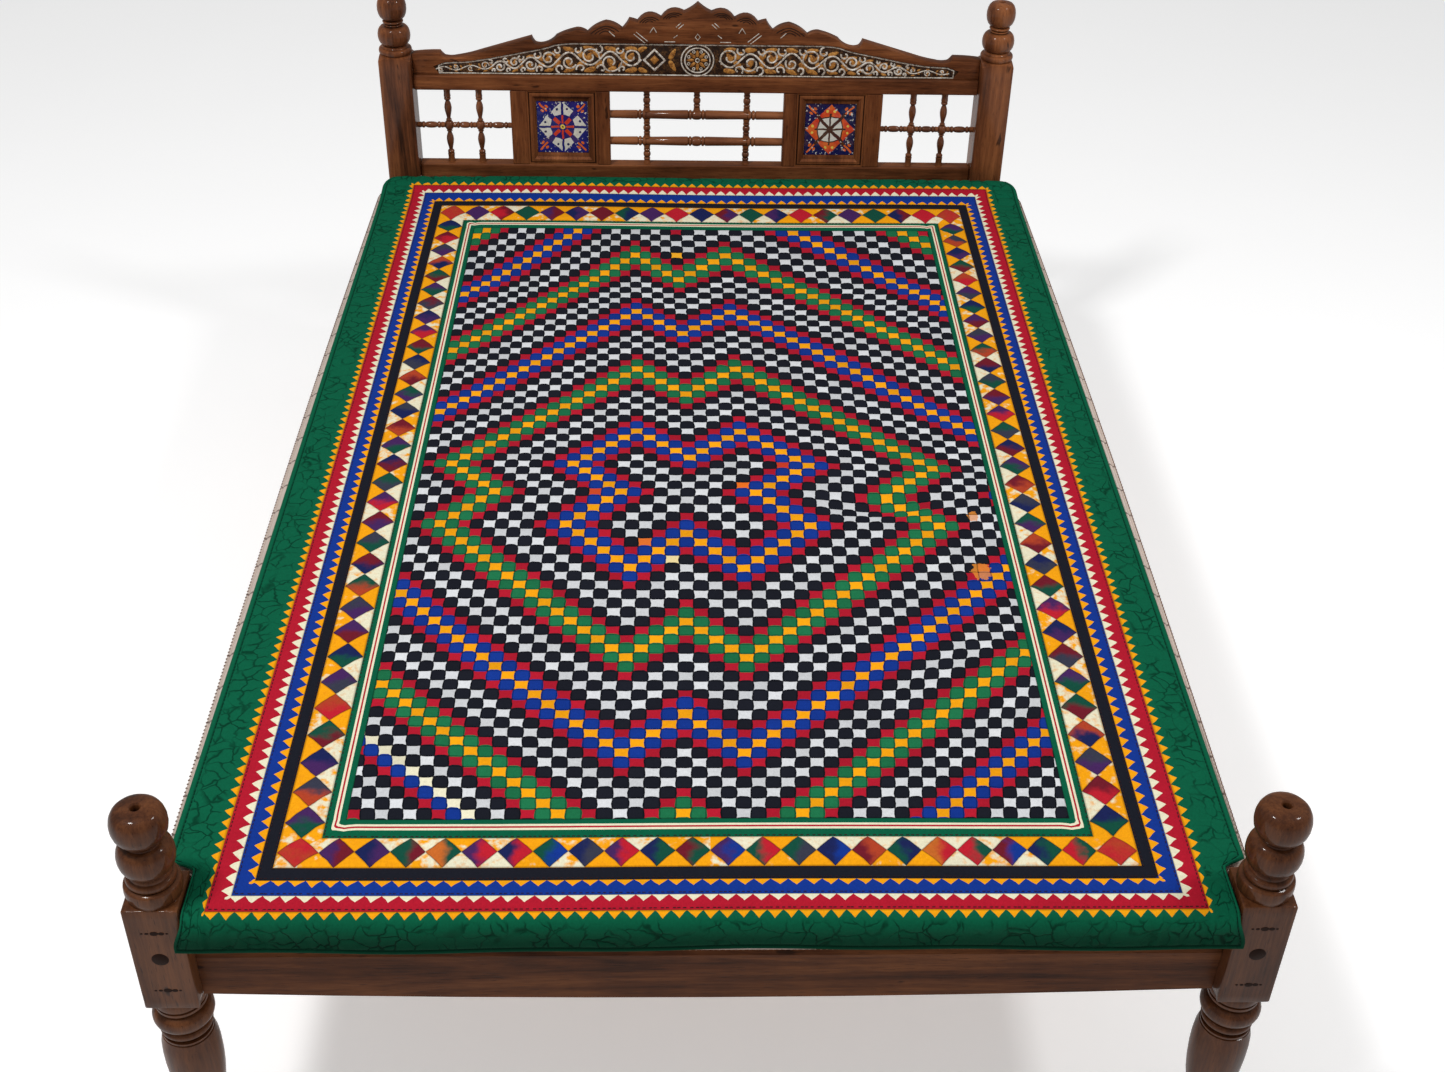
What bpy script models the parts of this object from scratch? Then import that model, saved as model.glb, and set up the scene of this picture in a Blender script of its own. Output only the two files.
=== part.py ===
"""A hand-stitched quilt on a turned wooden bed with its mattress.

Metres, +Z up. The foot of the bed is at -Y and the head at +Y. The origin is on the floor, at the middle of
the bed's outline. The quilt lies flat on the mattress, folds down over its foot, is squeezed past the two
foot posts and is tucked down at the head.
"""
import math

import bmesh
import bpy
from mathutils import Vector

# Heights above the floor.
LEG_HEIGHT = 0.310
QUILT_TOP = 0.480
FOOT_BLOCK_TOP = QUILT_TOP - 0.004
MATTRESS_BOTTOM = QUILT_TOP - 0.092
HEAD_SHAFT_TOP = QUILT_TOP + 0.246
GAP = 0.0003

# Posts: turned, with square blocks where the rails are joined.
FOOT_POST_X = 0.655
HEAD_POST_X = 0.602
FOOT_POST_Y = -0.991
HEAD_POST_Y = 1.000
FOOT_BLOCK = 0.066
HEAD_SHAFT = 0.064
BLOCK_CHAMFER = 0.005

# Rails and slats.
FOOT_RAIL_SETBACK = 0.022
FOOT_RAIL_THICK = 0.030
FOOT_RAIL_BOTTOM = LEG_HEIGHT + 0.002
FOOT_RAIL_BOW = 0.012
FOOT_RAIL_STATIONS = 8
SIDE_RAIL_THICK = 0.022
SIDE_RAIL_OUTER = 0.634
SIDE_RAIL_BOTTOM = LEG_HEIGHT + 0.003
SLAT_THICK = 0.015
SLAT_WIDTH = 0.080
SLAT_COUNT = 8
SLAT_SETBACK = 0.004
SLAT_MARGIN = 0.045
RAIL_EDGE = 0.002

# Headboard, between the head posts.
RAIL_FRONT = HEAD_POST_Y - 0.016
RAIL_THICK = 0.030
LOWER_RAIL = (QUILT_TOP - 0.006, QUILT_TOP + 0.024)
UPPER_RAIL = (QUILT_TOP + 0.183, QUILT_TOP + 0.213)
OUTER_STILE = (0.345, 0.378)
INNER_STILE = (0.177, 0.2035)
STILE_THICK = 0.026
STILE_SETBACK = 0.001
STILE_EDGE = 0.0015
TILE_SIZE = (0.104, 0.112)
TILE_THICK = 0.008
TILE_RECESS = 0.006
TILE_EDGE = 0.0008
TILE_FRAME_LIP = 0.007
TILE_FRAME_SETBACK = 0.003
TILE_FRAME_BACK = 0.006
TILE_REBATE = 0.001
CREST_THICK = 0.024
CREST_SETBACK = 0.007
CREST_CLEAR = 0.0006
FRIEZE_THICK = 0.016
FRIEZE_SETBACK = 0.011
FRIEZE_END = 0.012
SIDE_SPINDLE_X = (0.442, 0.506)
CENTRE_SPINDLE_X = (-0.102, 0.102)
CENTRE_BAR_Z = (QUILT_TOP + 0.0725, QUILT_TOP + 0.130)
SPINDLE_RADIUS = 0.0068
SPINDLE_NECK = 0.0040
SPINDLE_BALL = 0.0085
SIDE_BAR_RADIUS = 0.0058
BAR_END = 0.0072
BAR_RADIUS = 0.0080
BAR_MIDDLE = 0.0090

# The quilt as it was cut: half its width, and its pieced seams along the side, the foot and the head. They
# end the field, the inner frame, the diamonds, the black band, the blue band and the red band.
QUILT_EDGE = 0.651
QUILT_THICK = 0.006
BORDER = 0.064
SIDE_SEAMS = (0.4468, 0.4712, 0.5209, 0.5380, 0.5611, 0.5871)
FOOT_SEAMS = (-0.8734, -0.9045, -0.9530, -0.9734, -0.9971, -1.0216)
HEAD_SEAMS = (0.7398, 0.7730, 0.8378, 0.8583, 0.8931, 0.9215)
HEM = 0.0085

# How it lies: the folds' outer faces and radii, the turn on the bed, and the squeeze past the foot posts.
FOOT_FACE = -1.0375
HEAD_FACE = 0.966
FOOT_FOLD = 0.020
HEAD_FOLD = 0.017
HEAD_CORNER = 0.050
LIE_SHIFT = 0.003
LIE_TURN = 0.0075
POST_CLEAR = 0.0025
FLAP_EDGE = 0.632
SQUEEZE_IN = (-0.930, -0.951)
SQUEEZE_OUT = (-1.034, -1.046)
SEAM_DEPTH = 0.0010
PUFF = 0.0010
HALF_BAND = 0.011
WAVE = 0.0010
WAVE_ACROSS = 8.0
WAVE_ALONG = 5.0
EDGE_DIP = 0.0015
PUCKER = 0.007
PUCKER_AT = (0.631, -0.934)
PUCKER_REACH = 0.013
HEM_WAVE = 0.0025
HEM_WAVES = 7.0
DROP_WAVE = 0.0012
DROP_WAVES = 23.0

# How finely its solid is divided between the seams, and across and along the field.
SIDE_STEP = 0.020
FOOT_STEP = 0.014
HEAD_STEP = 0.016
FIELD_ACROSS = 6
FIELD_ALONG = 8

# The mattress: a filled slab, notched round the foot posts.
MATTRESS_TOP = QUILT_TOP - 0.0098
MATTRESS_FOOT = FOOT_FACE + 0.0115
MATTRESS_HEAD = HEAD_FACE - 0.0080
MATTRESS_NOTCH_X = 0.6165
MATTRESS_NOTCH_Y = FOOT_POST_Y + FOOT_BLOCK / 2 + 0.003
MATTRESS_HALF = 0.656
MATTRESS_BULGE = 0.006
MATTRESS_EDGE = 0.012
MATTRESS_EASE = 0.004
MATTRESS_CORNER = 0.016
MATTRESS_SIDE_POINTS = 8

SIDES = 12

# Turned outlines, from the bottom up: the shape of each stretch, its height and its radius. A bead swells
# to the radius and comes back to the neck it stands on, and the others end at the radius.
LEG_TURNING = (
    ("start", 0.000, 0.0230),
    ("line", 0.035, 0.0280),
    ("line", 0.012, 0.0210),
    ("bead", 0.018, 0.0300),
    ("line", 0.004, 0.0210),
    ("line", 0.040, 0.0270),
    ("line", 0.050, 0.0345),
    ("line", 0.046, 0.0365),
    ("line", 0.036, 0.0320),
    ("line", 0.004, 0.0330),
    ("line", 0.010, 0.0270),
    ("bead", 0.014, 0.0330),
    ("line", 0.003, 0.0310),
    ("bead", 0.027, 0.0375),
    ("line", 0.003, 0.0320),
    ("line", 0.008, 0.0310),
)
FOOT_FINIAL_TURNING = (
    ("start", 0.000, 0.0325),
    ("bead", 0.018, 0.0365),
    ("line", 0.006, 0.0260),
    ("line", 0.004, 0.0270),
    ("ball", 0.037, 0.0330),
    ("line", 0.005, 0.0200),
    ("line", 0.011, 0.0165),
    ("ball", 0.066, 0.0325),
    ("line", 0.003, 0.0080),
)
HEAD_FINIAL_TURNING = (
    ("start", 0.000, 0.0300),
    ("bead", 0.011, 0.0325),
    ("line", 0.005, 0.0240),
    ("line", 0.008, 0.0180),
    ("ball", 0.041, 0.0320),
    ("line", 0.003, 0.0130),
    ("bead", 0.010, 0.0200),
    ("line", 0.003, 0.0140),
    ("ball", 0.043, 0.0285),
    ("line", 0.002, 0.0070),
)

# The crest's top edge from its end to its middle peak, and the carved frieze below it: distance from the
# middle of the bed, and height above the quilt.
CREST_EDGE = (
    (0.5692, 0.2540), (0.5140, 0.2575), (0.5050, 0.2476), (0.4810, 0.2476), (0.4340, 0.2590),
    (0.3300, 0.2900), (0.3225, 0.2770), (0.3080, 0.2757), (0.2810, 0.2920), (0.2400, 0.3070),
    (0.2190, 0.3003), (0.1800, 0.3220), (0.1500, 0.3080), (0.1360, 0.3280), (0.1200, 0.3237),
    (0.1060, 0.3370), (0.0930, 0.3397), (0.0730, 0.3318), (0.0570, 0.3460), (0.0437, 0.3500),
    (0.0270, 0.3436), (0.0000, 0.3620),
)
FRIEZE_EDGE = (
    (0.5280, 0.2289), (0.5030, 0.2385), (0.4620, 0.2400), (0.4180, 0.2470), (0.3700, 0.2565),
    (0.3030, 0.2700), (0.2810, 0.2780), (0.2500, 0.2806),
)


def new_material(name, colour, roughness):
    """A plain Principled material."""
    material = bpy.data.materials.new(name)
    material.use_nodes = True
    shader = material.node_tree.nodes["Principled BSDF"]
    shader.inputs["Base Color"].default_value = (*colour, 1.0)
    shader.inputs["Roughness"].default_value = roughness
    shader.inputs["Metallic"].default_value = 0.0
    return material


def new_object(name, bm, material, smooth=False):
    """Turn a bmesh into a named object with its faces pointing out."""
    bmesh.ops.recalc_face_normals(bm, faces=bm.faces)
    mesh = bpy.data.meshes.new(name)
    bm.to_mesh(mesh)
    bm.free()
    if smooth:
        mesh.shade_smooth()
    mesh.materials.append(material)
    thing = bpy.data.objects.new(name, mesh)
    bpy.context.scene.collection.objects.link(thing)
    return thing


def skin(bm, rings):
    """Join closed rings of equal count, and cap both ends."""
    loops = [[bm.verts.new(point) for point in ring] for ring in rings]
    count = len(loops[0])
    for low, high in zip(loops, loops[1:]):
        for k in range(count):
            after = (k + 1) % count
            bm.faces.new((low[k], low[after], high[after], high[k]))
    bm.faces.new(loops[0])
    bm.faces.new(loops[-1])


def plank(name, low, high, material, edge=0.0):
    """A straight board between two corners, with its edges eased."""
    bm = bmesh.new()
    bmesh.ops.create_cube(bm, size=1.0)
    size = Vector(high) - Vector(low)
    bmesh.ops.scale(bm, vec=size, verts=bm.verts)
    bmesh.ops.translate(bm, vec=(Vector(low) + Vector(high)) / 2, verts=bm.verts)
    if edge > 0.0:
        bmesh.ops.bevel(bm, geom=bm.edges, offset=edge, segments=1, profile=0.5, affect="EDGES", material=-1)
    return new_object(name, bm, material)


def sawn_board(name, outline, front, back, material):
    """A board cut to an outline of (x, z) points, between two planes of constant y."""
    bm = bmesh.new()
    face = bm.faces.new([bm.verts.new((x, front, z)) for x, z in outline])
    grown = bmesh.ops.extrude_face_region(bm, geom=[face])
    moved = [item for item in grown["geom"] if isinstance(item, bmesh.types.BMVert)]
    bmesh.ops.translate(bm, vec=(0.0, back - front, 0.0), verts=moved)
    return new_object(name, bm, material)


def turned_outline(turning, base):
    """The (radius, height) points of a turning that starts at a height."""
    points = []
    height = base
    for shape, rise, radius in turning:
        if shape == "bead":
            neck = points[-1][0]
            points.append((radius, height + rise / 2))
            points.append((neck, height + rise))
        elif shape == "ball":
            neck = points[-1][0]
            swell = neck + 0.75 * (radius - neck)
            points.append((swell, height + 0.20 * rise))
            points.append((radius, height + 0.50 * rise))
            points.append((swell, height + 0.80 * rise))
            points.append((neck * 0.8, height + rise))
        else:
            points.append((radius, height + rise))
        height += rise
    return points


def round_ring(x, y, z, radius):
    """One turned ring, with its points in the same order as a block's."""
    return [(x + radius * math.cos(math.tau * k / SIDES), y + radius * math.sin(math.tau * k / SIDES), z)
            for k in range(SIDES)]


def block_ring(x, y, z, width):
    """One ring of a square block with chamfered corners."""
    half = width / 2
    cut = half - BLOCK_CHAMFER
    quarter = ((half, 0.0), (half, cut), (cut, half))
    ring = []
    for turn in range(4):
        cos, sin = ((1, 0), (0, 1), (-1, 0), (0, -1))[turn]
        ring += [(x + a * cos - b * sin, y + a * sin + b * cos, z) for a, b in quarter]
    return ring


def post(name, x, y, width, block_top, finial, material):
    """A leg, a square block and a finial, turned from one piece of wood."""
    rings = [round_ring(x, y, z, radius) for radius, z in turned_outline(LEG_TURNING, 0.0)]
    ease = 0.004
    rings.append(block_ring(x, y, LEG_HEIGHT, width - 2 * ease))
    rings.append(block_ring(x, y, LEG_HEIGHT + ease, width))
    rings.append(block_ring(x, y, block_top - ease, width))
    rings.append(block_ring(x, y, block_top, width - 2 * ease))
    rings += [round_ring(x, y, z, radius) for radius, z in turned_outline(finial, block_top)]
    bm = bmesh.new()
    skin(bm, rings)
    return new_object(name, bm, material, smooth=True)


def spindle(name, start, end, outline, material, sides=6):
    """A slim turned bar between two points. The outline gives (share of the length, radius)."""
    start = Vector(start)
    end = Vector(end)
    along = (end - start).normalized()
    side = Vector((0.0, 1.0, 0.0))
    across = along.cross(side)
    rings = []
    for share, radius in outline:
        centre = start.lerp(end, share)
        rings.append([centre + radius * (across * math.cos(math.tau * k / sides)
                                         + side * math.sin(math.tau * k / sides)) for k in range(sides)])
    bm = bmesh.new()
    skin(bm, rings)
    return new_object(name, bm, material, smooth=True)


def build_posts(wood):
    """Two foot posts and two head posts."""
    for word, sign in (("left", -1), ("right", 1)):
        post("post_foot_" + word, sign * FOOT_POST_X, FOOT_POST_Y, FOOT_BLOCK, FOOT_BLOCK_TOP,
             FOOT_FINIAL_TURNING, wood)
        post("post_head_" + word, sign * HEAD_POST_X, HEAD_POST_Y, HEAD_SHAFT, HEAD_SHAFT_TOP,
             HEAD_FINIAL_TURNING, wood)


def build_foot_rail(wood):
    """The foot rail: its top edge is chamfered in front, and its lower edge bows down a little."""
    half = FOOT_POST_X - FOOT_BLOCK / 2 - GAP
    front = FOOT_POST_Y - FOOT_BLOCK / 2 + FOOT_RAIL_SETBACK
    back = front + FOOT_RAIL_THICK
    top = MATTRESS_BOTTOM - GAP
    chamfer = 0.010
    rings = []
    for k in range(FOOT_RAIL_STATIONS + 1):
        share = 2.0 * k / FOOT_RAIL_STATIONS - 1.0
        x = share * half
        bottom = FOOT_RAIL_BOTTOM - FOOT_RAIL_BOW * (1.0 - share * share)
        rings.append([(x, front, bottom), (x, front, top - chamfer), (x, front + chamfer / 2, top),
                      (x, back, top), (x, back, bottom)])
    bm = bmesh.new()
    skin(bm, rings)
    new_object("rail_foot", bm, wood)


def build_side_rails_and_slats(wood):
    """Side rails and the low head rail between the posts, with slats across them."""
    slat_bottom = MATTRESS_BOTTOM - GAP - SLAT_THICK
    rail_top = slat_bottom - GAP
    y_foot = FOOT_POST_Y + FOOT_BLOCK / 2 + GAP
    y_head = HEAD_POST_Y - HEAD_SHAFT / 2 - GAP
    inner = SIDE_RAIL_OUTER - SIDE_RAIL_THICK
    plank("rail_left", (-SIDE_RAIL_OUTER, y_foot, SIDE_RAIL_BOTTOM), (-inner, y_head, rail_top), wood,
          RAIL_EDGE)
    plank("rail_right", (inner, y_foot, SIDE_RAIL_BOTTOM), (SIDE_RAIL_OUTER, y_head, rail_top), wood,
          RAIL_EDGE)
    half = HEAD_POST_X - HEAD_SHAFT / 2 - GAP
    plank("rail_head", (-half, RAIL_FRONT, SIDE_RAIL_BOTTOM),
          (half, RAIL_FRONT + RAIL_THICK, MATTRESS_BOTTOM - GAP), wood, RAIL_EDGE)
    reach = SIDE_RAIL_OUTER - SLAT_SETBACK
    first = y_foot + SLAT_MARGIN
    pitch = (y_head - SLAT_MARGIN - first) / (SLAT_COUNT - 1)
    for k in range(SLAT_COUNT):
        y = first + pitch * k
        plank("slat_%d" % (k + 1), (-reach, y - SLAT_WIDTH / 2, slat_bottom),
              (reach, y + SLAT_WIDTH / 2, MATTRESS_BOTTOM - GAP), wood)


def build_headboard_frame(wood):
    """Two rails between the head posts, and four stiles between the rails."""
    half = HEAD_POST_X - HEAD_SHAFT / 2 - GAP
    for name, (low, high) in (("headboard_rail_lower", LOWER_RAIL), ("headboard_rail_upper", UPPER_RAIL)):
        plank(name, (-half, RAIL_FRONT, low), (half, RAIL_FRONT + RAIL_THICK, high), wood, RAIL_EDGE)
    front = RAIL_FRONT + STILE_SETBACK
    for name, sign, (near, far) in (("stile_outer_left", -1, OUTER_STILE), ("stile_inner_left", -1, INNER_STILE),
                                    ("stile_inner_right", 1, INNER_STILE), ("stile_outer_right", 1, OUTER_STILE)):
        low_x, high_x = sorted((sign * near, sign * far))
        plank(name, (low_x, front, LOWER_RAIL[1] + GAP), (high_x, front + STILE_THICK, UPPER_RAIL[0] - GAP),
              wood, STILE_EDGE)


def rectangle(x, z, width, height, y):
    """The four corners of an upright rectangle."""
    return [(x - width / 2, y, z - height / 2), (x + width / 2, y, z - height / 2),
            (x + width / 2, y, z + height / 2), (x - width / 2, y, z + height / 2)]


def build_tiles(wood, glaze):
    """Each tile lies in a moulded frame that fills the bay between an inner and an outer stile."""
    bay = OUTER_STILE[0] - INNER_STILE[1] - 2 * GAP
    middle = (OUTER_STILE[0] + INNER_STILE[1]) / 2
    tall = UPPER_RAIL[0] - LOWER_RAIL[1] - 2 * GAP
    z = (UPPER_RAIL[0] + LOWER_RAIL[1]) / 2
    front = RAIL_FRONT + TILE_FRAME_SETBACK
    tile_front = front + TILE_RECESS
    tile_back = tile_front + TILE_THICK
    back = tile_back + TILE_FRAME_BACK
    wide, high = TILE_SIZE
    for word, sign in (("left", -1), ("right", 1)):
        x = sign * middle
        bm = bmesh.new()
        skin(bm, [rectangle(x, z, bay, tall, back),
                  rectangle(x, z, bay, tall, front),
                  rectangle(x, z, wide + 2 * TILE_FRAME_LIP, high + 2 * TILE_FRAME_LIP, front),
                  rectangle(x, z, wide + 2 * GAP, high + 2 * GAP, tile_front - TILE_REBATE),
                  rectangle(x, z, wide + 2 * GAP, high + 2 * GAP, tile_back + GAP)])
        new_object("tile_frame_" + word, bm, wood)
        plank("tile_" + word, (x - wide / 2, tile_front, z - high / 2), (x + wide / 2, tile_back, z + high / 2),
              glaze, TILE_EDGE)


def build_crest(wood, carved):
    """The scalloped crest board, and the carved frieze fitted under it on the upper rail."""
    base = UPPER_RAIL[1] + GAP
    frieze_right = [(x, QUILT_TOP + z) for x, z in FRIEZE_EDGE]
    frieze_base_x = FRIEZE_EDGE[0][0] - FRIEZE_END
    top = frieze_right + [(-x, z) for x, z in reversed(frieze_right)]
    frieze_outline = [(frieze_base_x, base)] + top + [(-frieze_base_x, base)]
    frieze_front = RAIL_FRONT + FRIEZE_SETBACK
    sawn_board("frieze", frieze_outline, frieze_front, frieze_front + FRIEZE_THICK, carved)
    crest_right = [(x, QUILT_TOP + z) for x, z in CREST_EDGE]
    crest_top = crest_right + [(-x, z) for x, z in reversed(crest_right[:-1])]
    clear = CREST_CLEAR
    hollow = [(-x - math.copysign(clear, x), z + clear) for x, z in top]
    outline = [(CREST_EDGE[0][0], base)] + crest_top + [(-CREST_EDGE[0][0], base)]
    outline += [(-frieze_base_x - clear, base)] + hollow + [(frieze_base_x + clear, base)]
    crest_front = RAIL_FRONT + CREST_SETBACK
    sawn_board("crest", outline, crest_front, crest_front + CREST_THICK, wood)


def build_side_grilles(wood):
    """In each side opening: two spindles with a ball at mid height, and a bar in three lengths between."""
    y = RAIL_FRONT + RAIL_THICK / 2
    low = LOWER_RAIL[1] + GAP
    high = UPPER_RAIL[0] - GAP
    middle = (low + high) / 2
    ball = SPINDLE_BALL / (high - low)
    upright = ((0.0, SPINDLE_RADIUS), (0.08, SPINDLE_NECK), (0.24, SPINDLE_RADIUS), (0.5 - ball, SPINDLE_NECK),
               (0.5, SPINDLE_BALL), (0.5 + ball, SPINDLE_NECK), (0.76, SPINDLE_RADIUS), (0.92, SPINDLE_NECK),
               (1.0, SPINDLE_RADIUS))
    level = ((0.0, SPINDLE_NECK), (0.5, SIDE_BAR_RADIUS), (1.0, SPINDLE_NECK))
    clear = SPINDLE_BALL + GAP
    opening = (OUTER_STILE[1] + GAP, HEAD_POST_X - HEAD_SHAFT / 2 - GAP)
    for word, sign in (("left", -1), ("right", 1)):
        for k, x in enumerate(SIDE_SPINDLE_X):
            spindle("spindle_%s_%d" % (word, k + 1), (sign * x, y, low), (sign * x, y, high), upright, wood)
        inner, outer = SIDE_SPINDLE_X
        stretches = ((opening[0], inner - clear), (inner + clear, outer - clear), (outer + clear, opening[1]))
        for k, (near, far) in enumerate(stretches):
            spindle("bar_%s_%d" % (word, k + 1), (sign * near, y, middle), (sign * far, y, middle), level, wood)


def build_centre_grille(wood):
    """Two stout bars from stile to stile, with short spindles between them and the rails."""
    y = RAIL_FRONT + RAIL_THICK / 2
    low_bar, high_bar = CENTRE_BAR_Z
    reach = INNER_STILE[0] - GAP
    bar = ((0.0, BAR_END), (0.22, BAR_RADIUS), (0.5, BAR_MIDDLE), (0.78, BAR_RADIUS), (1.0, BAR_END))
    short = ((0.0, SPINDLE_RADIUS), (0.3, SPINDLE_NECK), (0.5, SPINDLE_RADIUS), (0.7, SPINDLE_NECK),
             (1.0, SPINDLE_RADIUS))
    for k, z in enumerate((low_bar, high_bar)):
        spindle("bar_centre_%d" % (k + 1), (-reach, y, z), (reach, y, z), bar, wood)
    floor = LOWER_RAIL[1] + GAP
    ceiling = UPPER_RAIL[0] - GAP
    clear = BAR_RADIUS + GAP
    bays = ((floor, low_bar - clear), (low_bar + clear, high_bar - clear), (high_bar + clear, ceiling))
    for word, x in zip(("left", "right"), CENTRE_SPINDLE_X):
        for k, (low, high) in enumerate(bays):
            spindle("spindle_centre_%s_%d" % (word, k + 1), (x, y, low), (x, y, high), short, wood)
    crown = BAR_MIDDLE + GAP
    spindle("spindle_centre_top", (0.0, y, high_bar + crown), (0.0, y, ceiling), short, wood)


def smooth_step(start, end, value):
    """0 at the start, 1 at the end, and smooth between."""
    share = min(max((value - start) / (end - start), 0.0), 1.0)
    return share * share * (3.0 - 2.0 * share)


def lie_offset(y):
    """The quilt and the mattress lie a little askew between the posts."""
    return LIE_SHIFT + LIE_TURN * y


def fold_down(v):
    """Where a point at v along the cloth lies: (y, drop below the flat top, share of the way down)."""
    foot_start = FOOT_FACE + FOOT_FOLD
    head_start = HEAD_FACE - HEAD_FOLD
    if v < foot_start:
        past, radius, start, way = foot_start - v, FOOT_FOLD, foot_start, -1.0
    elif v > head_start:
        past, radius, start, way = v - head_start, HEAD_FOLD, head_start, 1.0
    else:
        return v, 0.0, 0.0
    angle = min(past / radius, math.pi / 2)
    straight = max(past - radius * math.pi / 2, 0.0)
    return start + way * radius * math.sin(angle), radius * (1.0 - math.cos(angle)) + straight, math.sin(angle)


def edge_x(sign, v, y):
    """World x of the quilt's side edge."""
    lying = sign * QUILT_EDGE + lie_offset(y)
    past_post = sign * (FOOT_POST_X - FOOT_BLOCK / 2 - POST_CLEAR)
    flap = sign * FLAP_EDGE
    x = lying + (past_post - lying) * smooth_step(SQUEEZE_IN[0], SQUEEZE_IN[1], v)
    x += (flap - past_post) * smooth_step(SQUEEZE_OUT[0], SQUEEZE_OUT[1], v)
    corner_start = HEAD_FACE - HEAD_CORNER
    if y > corner_start:
        reach = min((y - corner_start) / HEAD_CORNER, 1.0)
        x -= sign * HEAD_CORNER * (1.0 - math.sqrt(1.0 - reach * reach))
    return x


def seam_relief(distance_from_seam, half_band):
    """Each pieced band swells between its seams."""
    share = min(distance_from_seam / half_band, 1.0)
    return PUFF * math.sin(share * math.pi / 2) - SEAM_DEPTH * (1.0 - share)


def relief(u, v):
    """The height that the quilting and the filling give a point of the flat quilt."""
    across = [*SIDE_SEAMS, QUILT_EDGE - HEM]
    foot = [*FOOT_SEAMS, FOOT_SEAMS[-1] - BORDER + HEM]
    head = [*HEAD_SEAMS, HEAD_SEAMS[-1] + BORDER - HEM]
    gaps = [abs(abs(u) - seam) for seam in across] + [abs(v - seam) for seam in foot + head]
    sewn = seam_relief(min(gaps), HALF_BAND)
    wave = WAVE * (1.0 + math.sin(WAVE_ACROSS * u + 0.9) * math.sin(WAVE_ALONG * v + 0.4))
    return sewn + wave


def quilt_point(u, v):
    """World position of the outer face of the quilt at (u, v) of its flat pattern."""
    y, drop, down = fold_down(v)
    sign = 1.0 if u > 0 else -1.0
    red = SIDE_SEAMS[-1]
    if abs(u) > red:
        start = sign * red + lie_offset(y)
        x = start + (edge_x(sign, v, y) - start) * (abs(u) - red) / (QUILT_EDGE - red)
    else:
        x = u + lie_offset(y)
    rise = relief(u, v)
    dip = EDGE_DIP * smooth_step(red, QUILT_EDGE, abs(u))
    gather = (abs(x) - PUCKER_AT[0]) ** 2 + (v - PUCKER_AT[1]) ** 2
    rise += PUCKER * math.exp(-gather / PUCKER_REACH ** 2)
    height = QUILT_TOP - drop + (rise - dip) * (1.0 - down)
    if v < FOOT_FACE:
        height += HEM_WAVE * math.sin(HEM_WAVES * u + 1.0) * smooth_step(0.0, 0.05, drop)
        y += DROP_WAVE * (1.0 + math.sin(DROP_WAVES * u + 0.5)) * smooth_step(0.0, 0.04, drop)
    return x, y, height


def even_steps(start, end, pieces):
    """The lines that part a stretch into equal pieces, without its two ends."""
    return [start + (end - start) * k / pieces for k in range(1, pieces)]


def with_middles(seams, step):
    """Seam positions with a line half way between neighbours, or more where they lie far apart."""
    lines = []
    for start, end in zip(seams, seams[1:]):
        pieces = max(2, round(abs(end - start) / step))
        lines += [start + (end - start) * k / pieces for k in range(pieces)]
    return lines + [seams[-1]]


def build_quilt(cloth):
    """The quilt: one padded sheet on the lines of its seams, thickened inwards."""
    side = with_middles((*SIDE_SEAMS, QUILT_EDGE - HEM), SIDE_STEP) + [QUILT_EDGE]
    middle = even_steps(-SIDE_SEAMS[0], SIDE_SEAMS[0], FIELD_ACROSS)
    across = [-u for u in reversed(side)] + middle + side
    foot_end = FOOT_SEAMS[-1] - BORDER
    foot = with_middles((*FOOT_SEAMS, foot_end + HEM), FOOT_STEP) + [foot_end]
    head_end = HEAD_SEAMS[-1] + BORDER
    head = with_middles((*HEAD_SEAMS, head_end - HEM), HEAD_STEP) + [head_end]
    along = list(reversed(foot)) + even_steps(FOOT_SEAMS[0], HEAD_SEAMS[0], FIELD_ALONG) + head
    bm = bmesh.new()
    rows = [[bm.verts.new(quilt_point(u, v)) for u in across] for v in along]
    for low, high in zip(rows, rows[1:]):
        for k in range(len(across) - 1):
            bm.faces.new((low[k], low[k + 1], high[k + 1], high[k]))
    thing = new_object("quilt", bm, cloth, smooth=True)
    if thing.data.polygons[0].normal.y > 0.0:
        thing.data.flip_normals()
    solid = thing.modifiers.new("thickness", "SOLIDIFY")
    solid.thickness = QUILT_THICK
    solid.offset = -1.0


def corner_arc(x, y, radius, start, end, steps=3):
    """Points on an arc about a centre, between two angles in quarter turns."""
    return [(x + radius * math.cos(math.pi / 2 * (start + (end - start) * k / steps)),
             y + radius * math.sin(math.pi / 2 * (start + (end - start) * k / steps))) for k in range(steps + 1)]


def mattress_outline(inset):
    """The mattress seen from above, drawn in by an inset, from the foot round to the head and back."""
    notch_y = MATTRESS_NOTCH_Y + inset
    foot_x = MATTRESS_NOTCH_X - inset
    side = MATTRESS_HALF - inset
    radius = MATTRESS_CORNER - inset * 0.9
    right = corner_arc(foot_x - radius, MATTRESS_FOOT + inset + radius, radius, -1.0, 0.0)
    right.append((foot_x, notch_y))
    right += corner_arc(side - radius, notch_y + radius, radius, -1.0, 0.0)
    head_y = MATTRESS_HEAD - inset
    head_radius = HEAD_CORNER - inset
    start_y = notch_y + radius
    end_y = head_y - head_radius
    for k in range(1, MATTRESS_SIDE_POINTS):
        share = k / MATTRESS_SIDE_POINTS
        swell = MATTRESS_BULGE * math.sin(share * math.pi)
        right.append((side + swell, start_y + (end_y - start_y) * share))
    right += corner_arc(side - head_radius, end_y, head_radius, 0.0, 1.0)
    left = [(-x, y) for x, y in reversed(right)]
    return [(x + lie_offset(y), y) for x, y in right + left]


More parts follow.
